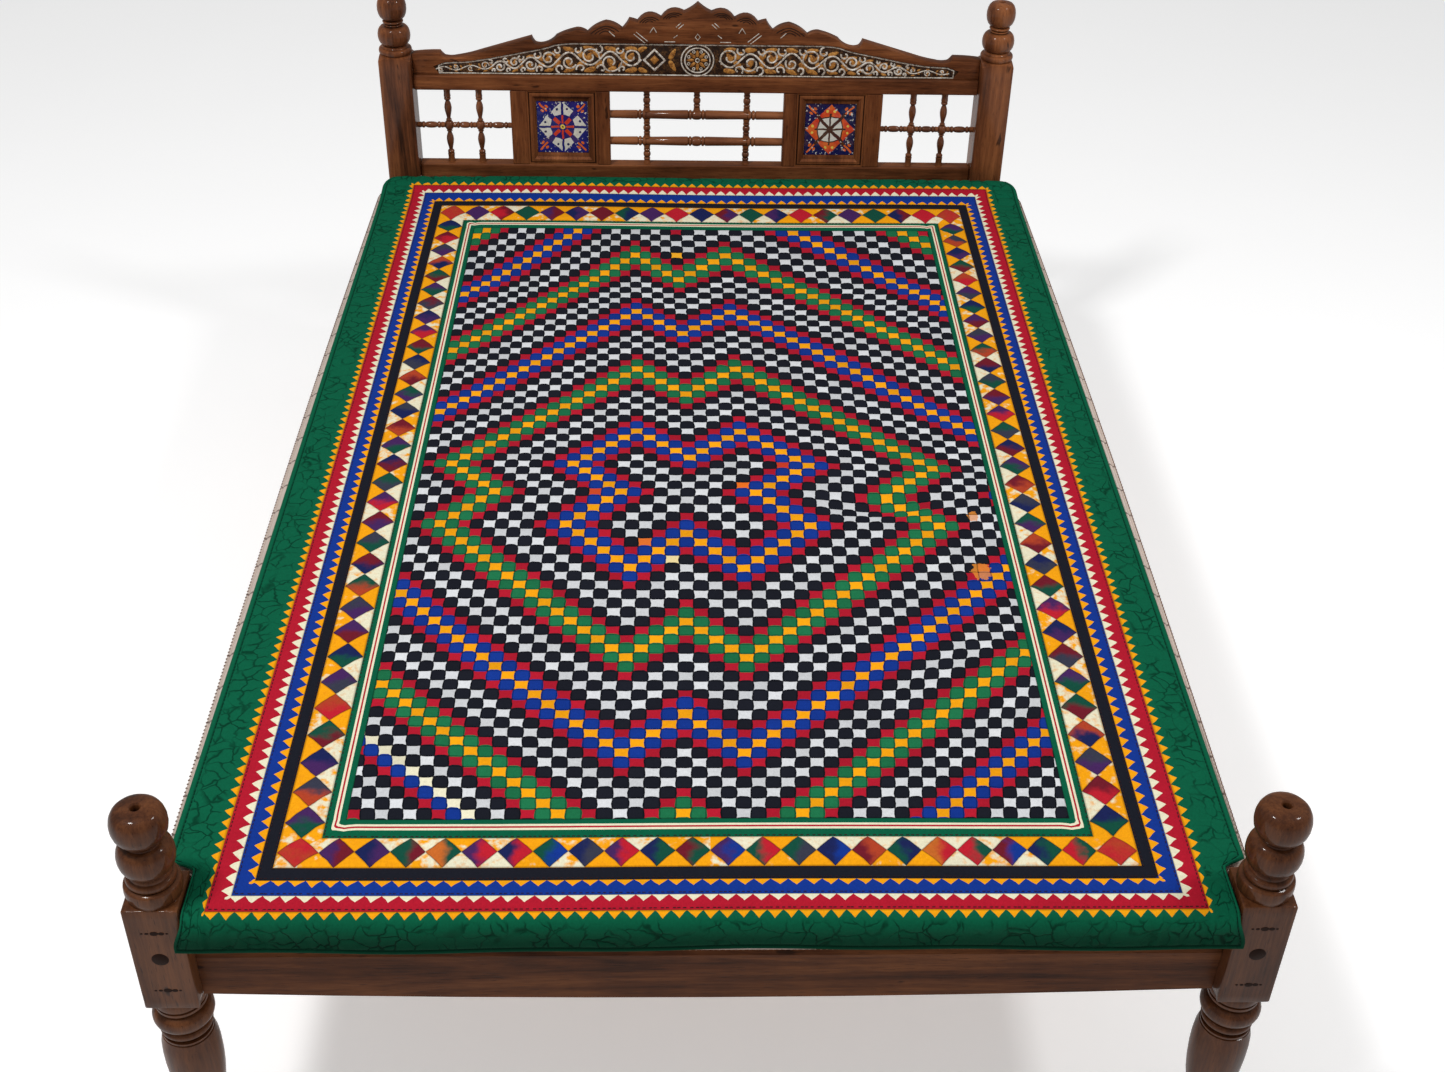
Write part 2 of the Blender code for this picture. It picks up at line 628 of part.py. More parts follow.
def build_mattress(ticking):
    """The filled mattress, with soft top and bottom edges."""
    levels = ((MATTRESS_BOTTOM, MATTRESS_EDGE), (MATTRESS_BOTTOM + MATTRESS_EASE, MATTRESS_EASE),
              (MATTRESS_BOTTOM + MATTRESS_EDGE, 0.0), (MATTRESS_TOP - MATTRESS_EDGE, 0.0),
              (MATTRESS_TOP - MATTRESS_EASE, MATTRESS_EASE), (MATTRESS_TOP, MATTRESS_EDGE))
    rings = [[(x, y, z) for x, y in mattress_outline(inset)] for z, inset in levels]
    bm = bmesh.new()
    skin(bm, rings)
    new_object("mattress", bm, ticking, smooth=True)


def build():
    """Clear the scene and build every piece."""
    for thing in list(bpy.data.objects):
        bpy.data.objects.remove(thing, do_unlink=True)
    wood = new_material("bed_wood", (0.115, 0.047, 0.024), 0.42)
    carved = new_material("carved_wood", (0.200, 0.120, 0.060), 0.60)
    glaze = new_material("tile_glaze", (0.020, 0.035, 0.210), 0.12)
    cloth = new_material("quilt_cloth", (0.010, 0.120, 0.075), 0.90)
    ticking = new_material("mattress_ticking", (0.720, 0.660, 0.590), 0.92)
    build_posts(wood)
    build_foot_rail(wood)
    build_side_rails_and_slats(wood)
    build_headboard_frame(wood)
    build_tiles(wood, glaze)
    build_crest(wood, carved)
    build_side_grilles(wood)
    build_centre_grille(wood)
    build_mattress(ticking)
    build_quilt(cloth)


build()
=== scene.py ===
"""A hand-stitched quilt on a turned wooden bed, finished for its picture.

Metres, +Z up, with the foot of the bed at -Y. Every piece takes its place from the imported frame.
"""

import math

import bmesh
import bpy
import numpy as np
from mathutils import Matrix, Vector, noise


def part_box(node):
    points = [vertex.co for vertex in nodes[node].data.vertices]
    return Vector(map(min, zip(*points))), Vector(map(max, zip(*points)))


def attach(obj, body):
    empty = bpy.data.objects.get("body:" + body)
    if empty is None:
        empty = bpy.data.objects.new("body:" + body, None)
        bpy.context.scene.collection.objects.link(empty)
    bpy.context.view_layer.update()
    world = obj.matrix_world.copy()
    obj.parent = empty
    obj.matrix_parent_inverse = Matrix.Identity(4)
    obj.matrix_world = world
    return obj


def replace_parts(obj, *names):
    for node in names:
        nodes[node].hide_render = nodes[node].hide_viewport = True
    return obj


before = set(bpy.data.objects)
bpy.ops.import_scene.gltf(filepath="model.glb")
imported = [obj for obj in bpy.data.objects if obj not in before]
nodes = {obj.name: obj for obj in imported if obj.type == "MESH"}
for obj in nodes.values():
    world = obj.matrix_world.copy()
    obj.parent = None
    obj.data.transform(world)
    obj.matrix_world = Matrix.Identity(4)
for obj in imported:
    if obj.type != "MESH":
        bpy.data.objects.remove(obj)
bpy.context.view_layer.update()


# Posts.
# Four turned posts carry the bed. Each is one length of stained hardwood: a turned leg, a square block or
# shaft where the rails are let in, and a turned finial with a small bore in its crown.

class Paint:
    """One socket of a node tree. Arithmetic on it adds Math nodes, and node() adds any other."""

    def __init__(self, tree, socket):
        self.tree = tree
        self.socket = socket

    def node(self, kind, settings, sockets, output=0):
        """Add a node: its settings first, then the values or links of its sockets. Gives one output."""
        made = self.tree.nodes.new(kind)
        for name, value in settings.items():
            if name == "stops":
                lay_stops(made.color_ramp, value)
            elif name == "interpolation" and kind == "ShaderNodeValToRGB":
                made.color_ramp.interpolation = value
            else:
                setattr(made, name, value)
        for name, value in sockets.items():
            if isinstance(value, Paint):
                self.tree.links.new(value.socket, made.inputs[name])
            else:
                made.inputs[name].default_value = value
        return Paint(self.tree, made.outputs[output])

    def math(self, operation, *values):
        return self.node("ShaderNodeMath", {"operation": operation}, dict(enumerate(values)))

    def __add__(self, other):
        return self.math("ADD", self, other)

    def __sub__(self, other):
        return self.math("SUBTRACT", self, other)

    def __rsub__(self, other):
        return self.math("SUBTRACT", other, self)

    def __mul__(self, other):
        return self.math("MULTIPLY", self, other)

    def __truediv__(self, other):
        return self.math("DIVIDE", self, other)

    def __mod__(self, other):
        return self.math("FLOORED_MODULO", self, other)

    def __pow__(self, other):
        return self.math("POWER", self, other)

    def __lt__(self, other):
        return self.math("LESS_THAN", self, other)

    def __gt__(self, other):
        return self.math("GREATER_THAN", self, other)

    def __abs__(self):
        return self.math("ABSOLUTE", self)

    __radd__ = __add__
    __rmul__ = __mul__

    def least(self, other):
        return self.math("MINIMUM", self, other)

    def most(self, other):
        return self.math("MAXIMUM", self, other)

    def rounded(self):
        return self.math("ROUND", self)

    def floored(self):
        return self.math("FLOOR", self)

    def saw(self, pitch):
        """0 at every whole pitch, and 1 half way between."""
        return self.math("PINGPONG", self, pitch / 2) / (pitch / 2)

    def step(self, start, end):
        """0 at the start, 1 at the end, and smooth between."""
        return self.node("ShaderNodeMapRange", {"interpolation_type": "SMOOTHSTEP"},
                         {"Value": self, "From Min": start, "From Max": end})

    def between(self, low, high):
        """A colour or number between two others, by this share."""
        if any(is_colour(value) for value in (low, high)):
            return self.node("ShaderNodeMix", {"data_type": "RGBA"}, {0: self, 6: low, 7: high}, 2)
        return self.node("ShaderNodeMix", {"data_type": "FLOAT"}, {0: self, 2: low, 3: high})

    def shaded(self, share):
        """A colour made lighter or darker by a number."""
        grey = self.node("ShaderNodeCombineColor", {}, {0: share, 1: share, 2: share})
        return self.node("ShaderNodeMix", {"data_type": "RGBA", "blend_type": "MULTIPLY"},
                         {0: 1.0, 6: self, 7: grey}, 2)

    def scaled(self, scale):
        """A vector drawn out or squeezed along its axes."""
        return self.node("ShaderNodeVectorMath", {"operation": "MULTIPLY"}, {0: self, 1: scale})

    def part(self, axis):
        """One of a vector's three numbers."""
        return self.node("ShaderNodeSeparateXYZ", {}, {0: self}, axis)

    def vector(self, x, y, z=0.0):
        return self.node("ShaderNodeCombineXYZ", {}, {0: x, 1: y, 2: z})

    def grain(self, scale, detail=3.0, roughness=0.5, distortion=0.0, output=0):
        """Noise over a vector, about 0.5."""
        sockets = {"Vector": self, "Scale": scale, "Detail": detail, "Roughness": roughness,
                   "Distortion": distortion}
        return self.node("ShaderNodeTexNoise", {}, sockets, output)

    def chart(self, stops, interpolation="LINEAR"):
        """A colour ramp over this number."""
        return self.node("ShaderNodeValToRGB", {"interpolation": interpolation, "stops": stops}, {0: self})


def is_colour(value):
    """Whether a value, or the socket it comes from, is a colour."""
    return isinstance(value, tuple) or isinstance(value, Paint) and value.socket.type == "RGBA"


def lay_stops(ramp, stops):
    """Give a colour ramp its stops, as (place, colour)."""
    while len(ramp.elements) > 1:
        ramp.elements.remove(ramp.elements[-1])
    for number, (place, colour) in enumerate(stops):
        element = ramp.elements[0] if number == 0 else ramp.elements.new(place)
        element.position = place
        element.color = colour


def dye(red, green, blue):
    """A colour as it looks on a screen, in the light's own scale."""
    return tuple(((part / 255 + 0.055) / 1.055) ** 2.4 for part in (red, green, blue)) + (1.0,)


def new_finish(name, constants, attribute=None):
    """A material with these constants on its shader, and the coordinates that its pattern follows."""
    material = bpy.data.materials.new(name)
    material.use_nodes = True
    tree = material.node_tree
    shader = tree.nodes["Principled BSDF"]
    for socket, value in constants.items():
        shader.inputs[socket].default_value = value
    if attribute:
        source = tree.nodes.new("ShaderNodeAttribute")
        source.attribute_name = attribute
        return material, Paint(tree, source.outputs["Vector"])
    return material, Paint(tree, tree.nodes.new("ShaderNodeTexCoord").outputs["Object"])


def lay_on(material, colour, roughness, relief, depth):
    """Join a colour, a roughness and a relief of a given depth to a material's shader."""
    tree = material.node_tree
    shader = tree.nodes["Principled BSDF"]
    tree.links.new(colour.socket, shader.inputs["Base Color"])
    tree.links.new(roughness.socket, shader.inputs["Roughness"])
    bump = relief.node("ShaderNodeBump", {}, {"Height": relief, "Distance": depth, "Strength": 1.0})
    tree.links.new(bump.socket, shader.inputs["Normal"])


WOOD_DARK = dye(42, 21, 11)
WOOD_MIDDLE = dye(88, 49, 27)
WOOD_LIGHT = dye(128, 78, 45)
# The dark of the pores, knots and pin ends, and also the painted shade in the hollows of turnings and frames.
WOOD_GRIME_AND_SHADE = dye(18, 9, 5)
GRAIN_DRAWN = 0.07
FIGURE_SCALE = 16.0
FIBRE_SCALE = 260.0
PORE_SCALE = 620.0
BLOTCH_SCALE = 5.5
KNOT_SCALE = 17.0
KNOT_SQUEEZE = 3.0
PORE_SHADE = 0.5
KNOT_SHADE = 0.75
QUIRK_PAINTED_SHADE = (0.41, 0.495)
WEAR_AND_PAINTED_HIGHLIGHT = (0.53, 0.62)
WOOD_RELIEF = 0.0003
FLAT_POLISH = 0.03
# Painted shade at the foot and painted light at the head: where along the bed the one gives way to the other,
# and how strong each is.
PAINTED_LIGHT_RUNS = (-0.95, 0.95)
FOOT_PAINTED_SHADE = 0.74
HEAD_PAINTED_LIGHT = 1.28
TURNED_HEAD_PAINTED_LIGHT = 1.56
UNDERSIDE_PAINTED_SHADE = 0.52
TOPSIDE_PAINTED_LIGHT = 1.04


def wood_finish(name, along, turned=False, polish=0.26):
    """Stained hardwood under old polish, its grain along one axis. Painted shade darkens it towards the foot
    and painted light brightens it towards the head; on a turning, painted shade lies in its quirks and under
    its swells, and a painted highlight on its sharp edges."""
    coat = polish if turned else FLAT_POLISH
    material, place = new_finish(name, {"Coat Weight": coat, "Coat Roughness": 0.08,
                                        "Specular IOR Level": 0.06})
    stretch = [1.0, 1.0, 1.0]
    stretch[along] = GRAIN_DRAWN
    drawn = place.scaled(stretch)
    figure = drawn.grain(FIGURE_SCALE, 5.0, 0.6, 1.2)
    fibre = drawn.grain(FIBRE_SCALE, 4.0, 0.65)
    pores = drawn.grain(PORE_SCALE, 2.0, 0.5).step(0.60, 0.72)
    blotch = place.grain(BLOTCH_SCALE, 4.0, 0.6)
    tone = figure * 0.64 + fibre * 0.26 + blotch * 0.34
    colour = tone.chart([(0.46, WOOD_DARK), (0.60, WOOD_MIDDLE), (0.78, WOOD_LIGHT)])
    colour = (pores * PORE_SHADE).between(colour, WOOD_GRIME_AND_SHADE)
    squeezed = place.scaled([1.0 if axis == along else KNOT_SQUEEZE for axis in range(3)])
    knot = squeezed.grain(KNOT_SCALE, 2.0).step(0.70, 0.76)
    colour = (knot * KNOT_SHADE).between(colour, WOOD_GRIME_AND_SHADE)
    if turned:
        # Painted shade: the hollow quirks and grooves of a turning are painted dark.
        edge = place.node("ShaderNodeNewGeometry", {}, {}, "Pointiness")
        colour = (1.0 - edge.step(*QUIRK_PAINTED_SHADE)).between(colour, WOOD_GRIME_AND_SHADE)
        # Painted highlight, partly wear: the sharpest swells and arrises are painted lighter.
        colour = (edge.step(*WEAR_AND_PAINTED_HIGHLIGHT) * 0.6).between(colour, WOOD_LIGHT)
        # Painted shade and light: faces that turn downwards are painted darker, and faces that turn upwards a
        # little lighter.
        upwards = place.node("ShaderNodeNewGeometry", {}, {}, "Normal").part(2)
        colour = colour.shaded(upwards.step(-1.0, 0.9).between(UNDERSIDE_PAINTED_SHADE, TOPSIDE_PAINTED_LIGHT))
    # Painted light and shade: the wood is painted darker towards the foot and lighter towards the head, and
    # lighter still on turnings at the head, which also carry the painted shade above.
    head_painted_light = TURNED_HEAD_PAINTED_LIGHT if turned else HEAD_PAINTED_LIGHT
    colour = colour.shaded(place.part(1).step(*PAINTED_LIGHT_RUNS).between(FOOT_PAINTED_SHADE, head_painted_light))
    roughness = fibre * 0.25 + blotch * 0.25 + 0.24
    lay_on(material, colour, roughness, fibre * 0.6 + (1.0 - pores) * 0.4, WOOD_RELIEF)
    return material


wood_upright = wood_finish("wood_upright", 2)
wood_across = wood_finish("wood_across", 0)
wood_along = wood_finish("wood_along", 1)
# The turned finishes carry painted shade and painted highlights; the tile frames take one for the painted
# shade in their grooves.
wood_turned = wood_finish("wood_turned", 2, turned=True)
wood_moulded = wood_finish("wood_moulded", 2, turned=True, polish=0.08)
wood_slim = wood_finish("wood_slim", 2, turned=True, polish=0.55)
wood_slim_across = wood_finish("wood_slim_across", 0, turned=True, polish=0.55)


def named_thing(name, bm, finishes):
    """A named object of a bmesh, at the origin."""
    mesh = bpy.data.meshes.new(name)
    bm.to_mesh(mesh)
    bm.free()
    for finish in finishes:
        mesh.materials.append(finish)
    thing = bpy.data.objects.new(name, mesh)
    bpy.context.scene.collection.objects.link(thing)
    return thing


MERGE = 0.00002


def new_piece(name, bm, finishes, crisp=38.0):
    """A clean, named piece from a bmesh, smooth but for its arrises, riding on the bed."""
    bmesh.ops.remove_doubles(bm, verts=bm.verts, dist=MERGE)
    bmesh.ops.recalc_face_normals(bm, faces=bm.faces)
    thing = named_thing(name, bm, finishes)
    thing.data.shade_smooth()
    thing.data.set_sharp_from_angle(angle=math.radians(crisp))
    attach(thing, "root")
    return thing


ARC_STEPS = 9


def arc_share(shape, t):
    """How far a swelling shape stands out at a share of its rise."""
    if shape == "vase":
        return math.sin(math.pi * t ** 1.35)
    fullness = 0.45 if shape == "bun" else 0.5
    return max(1.0 - (2.0 * t - 1.0) ** 2, 0.0) ** fullness


def turned_line(turning, base=0.0, length=1.0):
    """The (radius, height) points of a turning. Each row is a shape, its rise and its radius. A bead, ball,
    bun or vase swells to the radius and comes back to a neck, and a line ends at the radius."""
    points = []
    height = base
    for shape, rise, radius in turning:
        rise *= length
        if shape in ("bead", "ball", "bun", "vase"):
            neck = points[-1][0]
            for k in range(1, ARC_STEPS + 1):
                t = (1.0 - math.cos(math.pi * k / ARC_STEPS)) / 2.0
                points.append((neck + (radius - neck) * arc_share(shape, t), height + rise * t))
        elif shape == "cove":
            start = points[-1][0]
            for k in range(1, ARC_STEPS + 1):
                t = k / ARC_STEPS
                share = 1.0 - math.cos(math.pi * t / 2)
                points.append((start + (radius - start) * share, height + rise * t))
        else:
            points.append((radius, height + rise))
        height += rise
    return points


def turn(bm, points, x, y, steps):
    """Spin a profile of (radius, height) points about an upright axis."""
    chain = [bm.verts.new((x + radius, y, height)) for radius, height in points]
    edges = [bm.edges.new(pair) for pair in zip(chain, chain[1:])]
    bmesh.ops.spin(bm, geom=chain + edges, cent=(x, y, 0.0), axis=(0.0, 0.0, 1.0), dvec=(0.0, 0.0, 0.0),
                   angle=math.tau, steps=steps, use_merge=True, use_normal_flip=False, use_duplicate=False)


BLOCK_CUTS = 11
SHOULDER_FROM = 0.026
SHOULDER_DROPS = {"foot": 0.0012, "head": 0.0075}
BLOCK_ARRIS = 0.0024


def square_block(bm, x, y, width, low, high, drop):
    """A square length of a post, whose ends are turned down towards the corners."""
    made = bmesh.ops.create_cube(bm, size=1.0)["verts"]
    bmesh.ops.scale(bm, vec=(width, width, high - low), verts=made)
    bmesh.ops.subdivide_edges(bm, edges=bm.edges, cuts=BLOCK_CUTS, use_grid_fill=True)
    half = (high - low) / 2
    corner = width / math.sqrt(2.0)
    for vert in bm.verts:
        if abs(vert.co.z) > half - 1e-6:
            out = max(math.hypot(vert.co.x, vert.co.y) - SHOULDER_FROM, 0.0) / (corner - SHOULDER_FROM)
            vert.co.z -= math.copysign(drop * out ** 1.3, vert.co.z)
    arrises = [edge for edge in bm.edges if edge.calc_face_angle(0.0) > 0.6]
    bmesh.ops.bevel(bm, geom=arrises, offset=BLOCK_ARRIS, segments=2, profile=0.5, affect="EDGES",
                    material=-1)
    bmesh.ops.translate(bm, vec=(x, y, (low + high) / 2), verts=bm.verts)


LEG_HEIGHT = 0.310
POST_STEPS = 44
LEG_TURNING = (
    ("start", 0.000, 0.0000), ("line", 0.000, 0.0225), ("line", 0.002, 0.0240), ("line", 0.033, 0.0280),
    ("cove", 0.012, 0.0210), ("bead", 0.018, 0.0300), ("line", 0.004, 0.0210), ("line", 0.010, 0.0225),
    ("line", 0.030, 0.0272), ("line", 0.025, 0.0318), ("line", 0.025, 0.0347), ("line", 0.023, 0.0361),
    ("line", 0.023, 0.0362), ("line", 0.016, 0.0352), ("line", 0.014, 0.0322), ("line", 0.001, 0.0292),
    ("line", 0.001, 0.0315), ("line", 0.003, 0.0315), ("line", 0.001, 0.0268), ("line", 0.003, 0.0268),
    ("bead", 0.012, 0.0328), ("line", 0.001, 0.0270), ("line", 0.002, 0.0275), ("bead", 0.028, 0.0380),
    ("line", 0.001, 0.0282), ("line", 0.002, 0.0282), ("line", 0.001, 0.0318), ("line", 0.004, 0.0318),
    ("line", 0.001, 0.0285), ("line", 0.002, 0.0285), ("line", 0.001, 0.0322), ("line", 0.006, 0.0326),
    ("line", 0.005, 0.0318), ("line", 0.004, 0.0300), ("line", 0.000, 0.0000),
)
FOOT_FINIAL = (
    ("start", -0.004, 0.0000), ("line", 0.000, 0.0318), ("line", 0.006, 0.0324), ("bead", 0.018, 0.0340),
    ("line", 0.001, 0.0302), ("line", 0.001, 0.0268), ("bead", 0.010, 0.0295), ("line", 0.001, 0.0252),
    ("cove", 0.007, 0.0222), ("line", 0.001, 0.0235), ("ball", 0.041, 0.0336), ("line", 0.001, 0.0215),
    ("cove", 0.004, 0.0172), ("line", 0.001, 0.0190), ("bun", 0.046, 0.0330),
)
HEAD_FINIAL = (
    ("start", -0.004, 0.0000), ("line", 0.000, 0.0290), ("line", 0.004, 0.0300), ("bead", 0.011, 0.0328),
    ("line", 0.001, 0.0262), ("cove", 0.005, 0.0215), ("line", 0.001, 0.0225), ("ball", 0.036, 0.0322),
    ("line", 0.001, 0.0150), ("bead", 0.004, 0.0180), ("line", 0.001, 0.0140), ("bead", 0.007, 0.0205),
    ("line", 0.001, 0.0160), ("bun", 0.046, 0.0288),
)
CROWN_BORE = 0.0050
CROWN_RIM = 0.0072
CROWN_BORE_DEPTH = 0.014
CROWN_RISE = 0.0015


def finial_line(turning, base):
    """A finial's outline, ending in a small bore."""
    points = turned_line(turning, base)
    top = points[-1][1] + CROWN_RISE
    points += [(CROWN_RIM * 1.9, top - CROWN_RISE * 0.4), (CROWN_RIM, top)]
    points += [(CROWN_BORE + 0.0008, top - 0.0014), (CROWN_BORE, top - 0.0030)]
    points += [(CROWN_BORE * 0.9, top - CROWN_BORE_DEPTH), (0.0, top - CROWN_BORE_DEPTH)]
    return points


def build_post(node, block_top, finial):
    """One post in the place of its node."""
    low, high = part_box(node)
    x = (low.x + high.x) / 2
    y = (low.y + high.y) / 2
    end = "foot" if "foot" in node else "head"
    bm = bmesh.new()
    square_block(bm, x, y, BLOCK_WIDTHS[end], LEG_HEIGHT, block_top, SHOULDER_DROPS[end])
    turn(bm, turned_line(LEG_TURNING), x, y, POST_STEPS)
    turn(bm, finial_line(finial, block_top), x, y, POST_STEPS)
    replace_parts(new_piece("turned_" + node, bm, [wood_turned]), node)


FOOT_BLOCK = 0.066
HEAD_SHAFT = 0.064
BLOCK_WIDTHS = {"foot": FOOT_BLOCK, "head": HEAD_SHAFT}
QUILT_LIE = 0.0098
FOOT_BLOCK_RISE = 0.004
HEAD_SHAFT_RISE = 0.256
quilt_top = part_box("mattress")[1].z + QUILT_LIE
foot_block_top = quilt_top + FOOT_BLOCK_RISE
head_shaft_top = quilt_top + HEAD_SHAFT_RISE
for side in ("left", "right"):
    build_post("post_foot_" + side, foot_block_top, FOOT_FINIAL)
    build_post("post_head_" + side, head_shaft_top, HEAD_FINIAL)


# Peg ends.
# The rails are pinned through the foot blocks. The pins show as dark round ends on the blocks' faces, with a
# short row of nail marks above and below each.

PIN_RADIUS = 0.0108
PIN_STAND = 0.0004
PIN_SHARE = 0.52
MARK_SHARES = (0.20, 0.78)
INNER_MARKS = (0.030, 0.018)
INNER_MARK_DROP = 0.035
INNER_MARK = 0.0026
MARK_LOBES = ((-0.0145, 0.0012), (-0.0085, 0.0017), (0.0, 0.0036), (0.0085, 0.0026), (0.0150, 0.0012))


def round_end(bm, x, y, z, radius, turned_to_side=False, drawn=1.0):
    """A round end that stands just proud of a face."""
    made = bmesh.ops.create_cone(bm, cap_ends=True, segments=20, radius1=radius, radius2=radius * 0.9,
                                 depth=2 * PIN_STAND)["verts"]
    turn_by = Matrix.Rotation(math.pi / 2, 3, "Y" if turned_to_side else "X")
    bmesh.ops.scale(bm, vec=(drawn, 1.0, 1.0), verts=made)
    bmesh.ops.rotate(bm, cent=(0.0, 0.0, 0.0), matrix=turn_by, verts=made)
    bmesh.ops.translate(bm, vec=(x, y, z), verts=made)


def build_pegs():
    """The pins and marks on both foot blocks, and two small ones on the right block's inner face."""
    bm = bmesh.new()
    for side in ("left", "right"):
        low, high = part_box("post_foot_" + side)
        x = (low.x + high.x) / 2
        front = (low.y + high.y) / 2 - FOOT_BLOCK / 2
        block = foot_block_top - LEG_HEIGHT
        round_end(bm, x, front, LEG_HEIGHT + block * PIN_SHARE, PIN_RADIUS)
        for share in MARK_SHARES:
            for shift, radius in MARK_LOBES:
                round_end(bm, x + shift, front, LEG_HEIGHT + block * share, radius, drawn=1.5)
    low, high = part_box("post_foot_right")
    inner = (low.x + high.x) / 2 - FOOT_BLOCK / 2
    for back in INNER_MARKS:
        round_end(bm, inner, high.y - back, foot_block_top - INNER_MARK_DROP, INNER_MARK,
                  turned_to_side=True)
    new_piece("peg_ends", bm, [peg_wood])


peg_wood, peg_place = new_finish("peg_wood", {"Specular IOR Level": 0.05})
peg_tone = peg_place.grain(900.0, 3.0)
lay_on(peg_wood, peg_tone.between(WOOD_GRIME_AND_SHADE, WOOD_DARK), peg_tone * 0.3 + 0.4, peg_tone, 0.0003)
build_pegs()


# Rails, slats and stiles.
# Planed boards with eased edges, let in between the posts. Their solids already have the true shape, so they
# keep it and are stained, each with its grain along its length.

BOARD_FINISHES = (
    (("rail_foot", "rail_head", "slat_", "headboard_rail"), wood_across),
    (("rail_left", "rail_right"), wood_along),
    (("stile_",), wood_upright),
)


def finish_node(name, finish):
    """Give a solid that keeps its shape its one finish."""
    nodes[name].data.materials.clear()
    nodes[name].data.materials.append(finish)


for starts, board_finish in BOARD_FINISHES:
    for name in nodes:
        if name.startswith(starts):
            finish_node(name, board_finish)


# Grilles.
# Slim turned spindles and bars fill three openings of the headboard. A ball marks each crossing at the sides,
# and two stout bars with ring turnings cross the middle.

SPINDLE_STEPS = 18
SPINDLE_TURNING = (
    ("start", 0.000, 0.0000), ("line", 0.000, 0.0068), ("line", 0.060, 0.0060), ("line", 0.050, 0.0066),
    ("line", 0.008, 0.0044), ("bead", 0.042, 0.0064), ("line", 0.008, 0.0036), ("vase", 0.235, 0.0070),
    ("line", 0.012, 0.0042), ("bead", 0.020, 0.0054), ("line", 0.007, 0.0042), ("ball", 0.116, 0.0087),
    ("line", 0.007, 0.0042), ("bead", 0.020, 0.0054), ("line", 0.012, 0.0036), ("vase", 0.235, 0.0070),
    ("line", 0.008, 0.0044), ("bead", 0.042, 0.0064), ("line", 0.008, 0.0066), ("line", 0.050, 0.0060),
    ("line", 0.060, 0.0068), ("line", 0.000, 0.0000),
)
SHORT_TURNING = (
    ("start", 0.000, 0.0000), ("line", 0.000, 0.0064), ("line", 0.160, 0.0058), ("line", 0.030, 0.0042),
    ("bead", 0.140, 0.0062), ("line", 0.020, 0.0038), ("ball", 0.300, 0.0070), ("line", 0.020, 0.0042),
    ("bead", 0.140, 0.0062), ("line", 0.030, 0.0058), ("line", 0.160, 0.0064), ("line", 0.000, 0.0000),
)
SIDE_BAR_TURNING = (
    ("start", 0.000, 0.0000), ("line", 0.000, 0.0054), ("line", 0.120, 0.0060), ("line", 0.030, 0.0044),
    ("bead", 0.120, 0.0066), ("line", 0.030, 0.0044), ("ball", 0.400, 0.0066), ("line", 0.030, 0.0044),
    ("bead", 0.120, 0.0066), ("line", 0.030, 0.0060), ("line", 0.120, 0.0054), ("line", 0.000, 0.0000),
)
CENTRE_BAR_TURNING = (
    ("start", 0.000, 0.0000), ("line", 0.000, 0.0072), ("line", 0.156, 0.0078), ("line", 0.006, 0.0060),
    ("bead", 0.020, 0.0086), ("line", 0.004, 0.0062), ("bead", 0.020, 0.0086), ("line", 0.006, 0.0074),
    ("line", 0.236, 0.0084), ("line", 0.006, 0.0062), ("bead", 0.018, 0.0088), ("line", 0.002, 0.0066),
    ("bead", 0.052, 0.0090), ("line", 0.002, 0.0066), ("bead", 0.018, 0.0088), ("line", 0.006, 0.0084),
    ("line", 0.236, 0.0074), ("line", 0.006, 0.0062), ("bead", 0.020, 0.0086), ("line", 0.004, 0.0060),
    ("bead", 0.020, 0.0086), ("line", 0.006, 0.0078), ("line", 0.156, 0.0072), ("line", 0.000, 0.0000),
)


BAR_KINDS = (
    (("spindle_left", "spindle_right"), SPINDLE_TURNING, 1.08),
    (("spindle_centre",), SHORT_TURNING, 1.10),
    (("bar_centre",), CENTRE_BAR_TURNING, 1.14),
    (("bar_left", "bar_right"), SIDE_BAR_TURNING, 1.00),
)


def build_turned_bar(node, turning, stout):
    """A slim turned bar in the place of its node, along the node's longest side."""
    low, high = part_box(node)
    size = high - low
    level = size.x > size.z
    bm = bmesh.new()
    line = turned_line(turning, 0.0, max(size.x, size.z))
    turn(bm, [(radius * stout, height) for radius, height in line], 0.0, 0.0, SPINDLE_STEPS)
    start = Vector(((low.x + high.x) / 2, (low.y + high.y) / 2, low.z))
    if level:
        level_turn = Matrix.Rotation(math.pi / 2, 3, "Y")
        bmesh.ops.rotate(bm, cent=(0.0, 0.0, 0.0), matrix=level_turn, verts=bm.verts)
        start = Vector((low.x, (low.y + high.y) / 2, (low.z + high.z) / 2))
    bmesh.ops.translate(bm, vec=start, verts=bm.verts)
    finish = wood_slim_across if level else wood_slim
    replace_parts(new_piece("turned_" + node, bm, [finish]), node)


for name in sorted(nodes):
    for starts, turning, stout in BAR_KINDS:
        if name.startswith(starts):
            build_turned_bar(name, turning, stout)


# Tile frames.
# Each tile is held by a moulded frame: an outer flat, a narrow groove, a raised lip and a slope to the tile.

TILE_SIZE = (0.104, 0.112)
TILE_ROOM = 0.0004
FRAME_STEPS = (
    ("groove's outer edge", 0.0028, 0.0000), ("groove", 0.0006, -0.0024),
    ("foot of the lip", 0.0014, 0.0000), ("lip", 0.0010, 0.0030), ("crown", 0.0052, 0.0008),
    ("slope", 0.0050, -0.0042), ("rebate", 0.0003, -0.0014),
)
BACK_INSET = 0.010


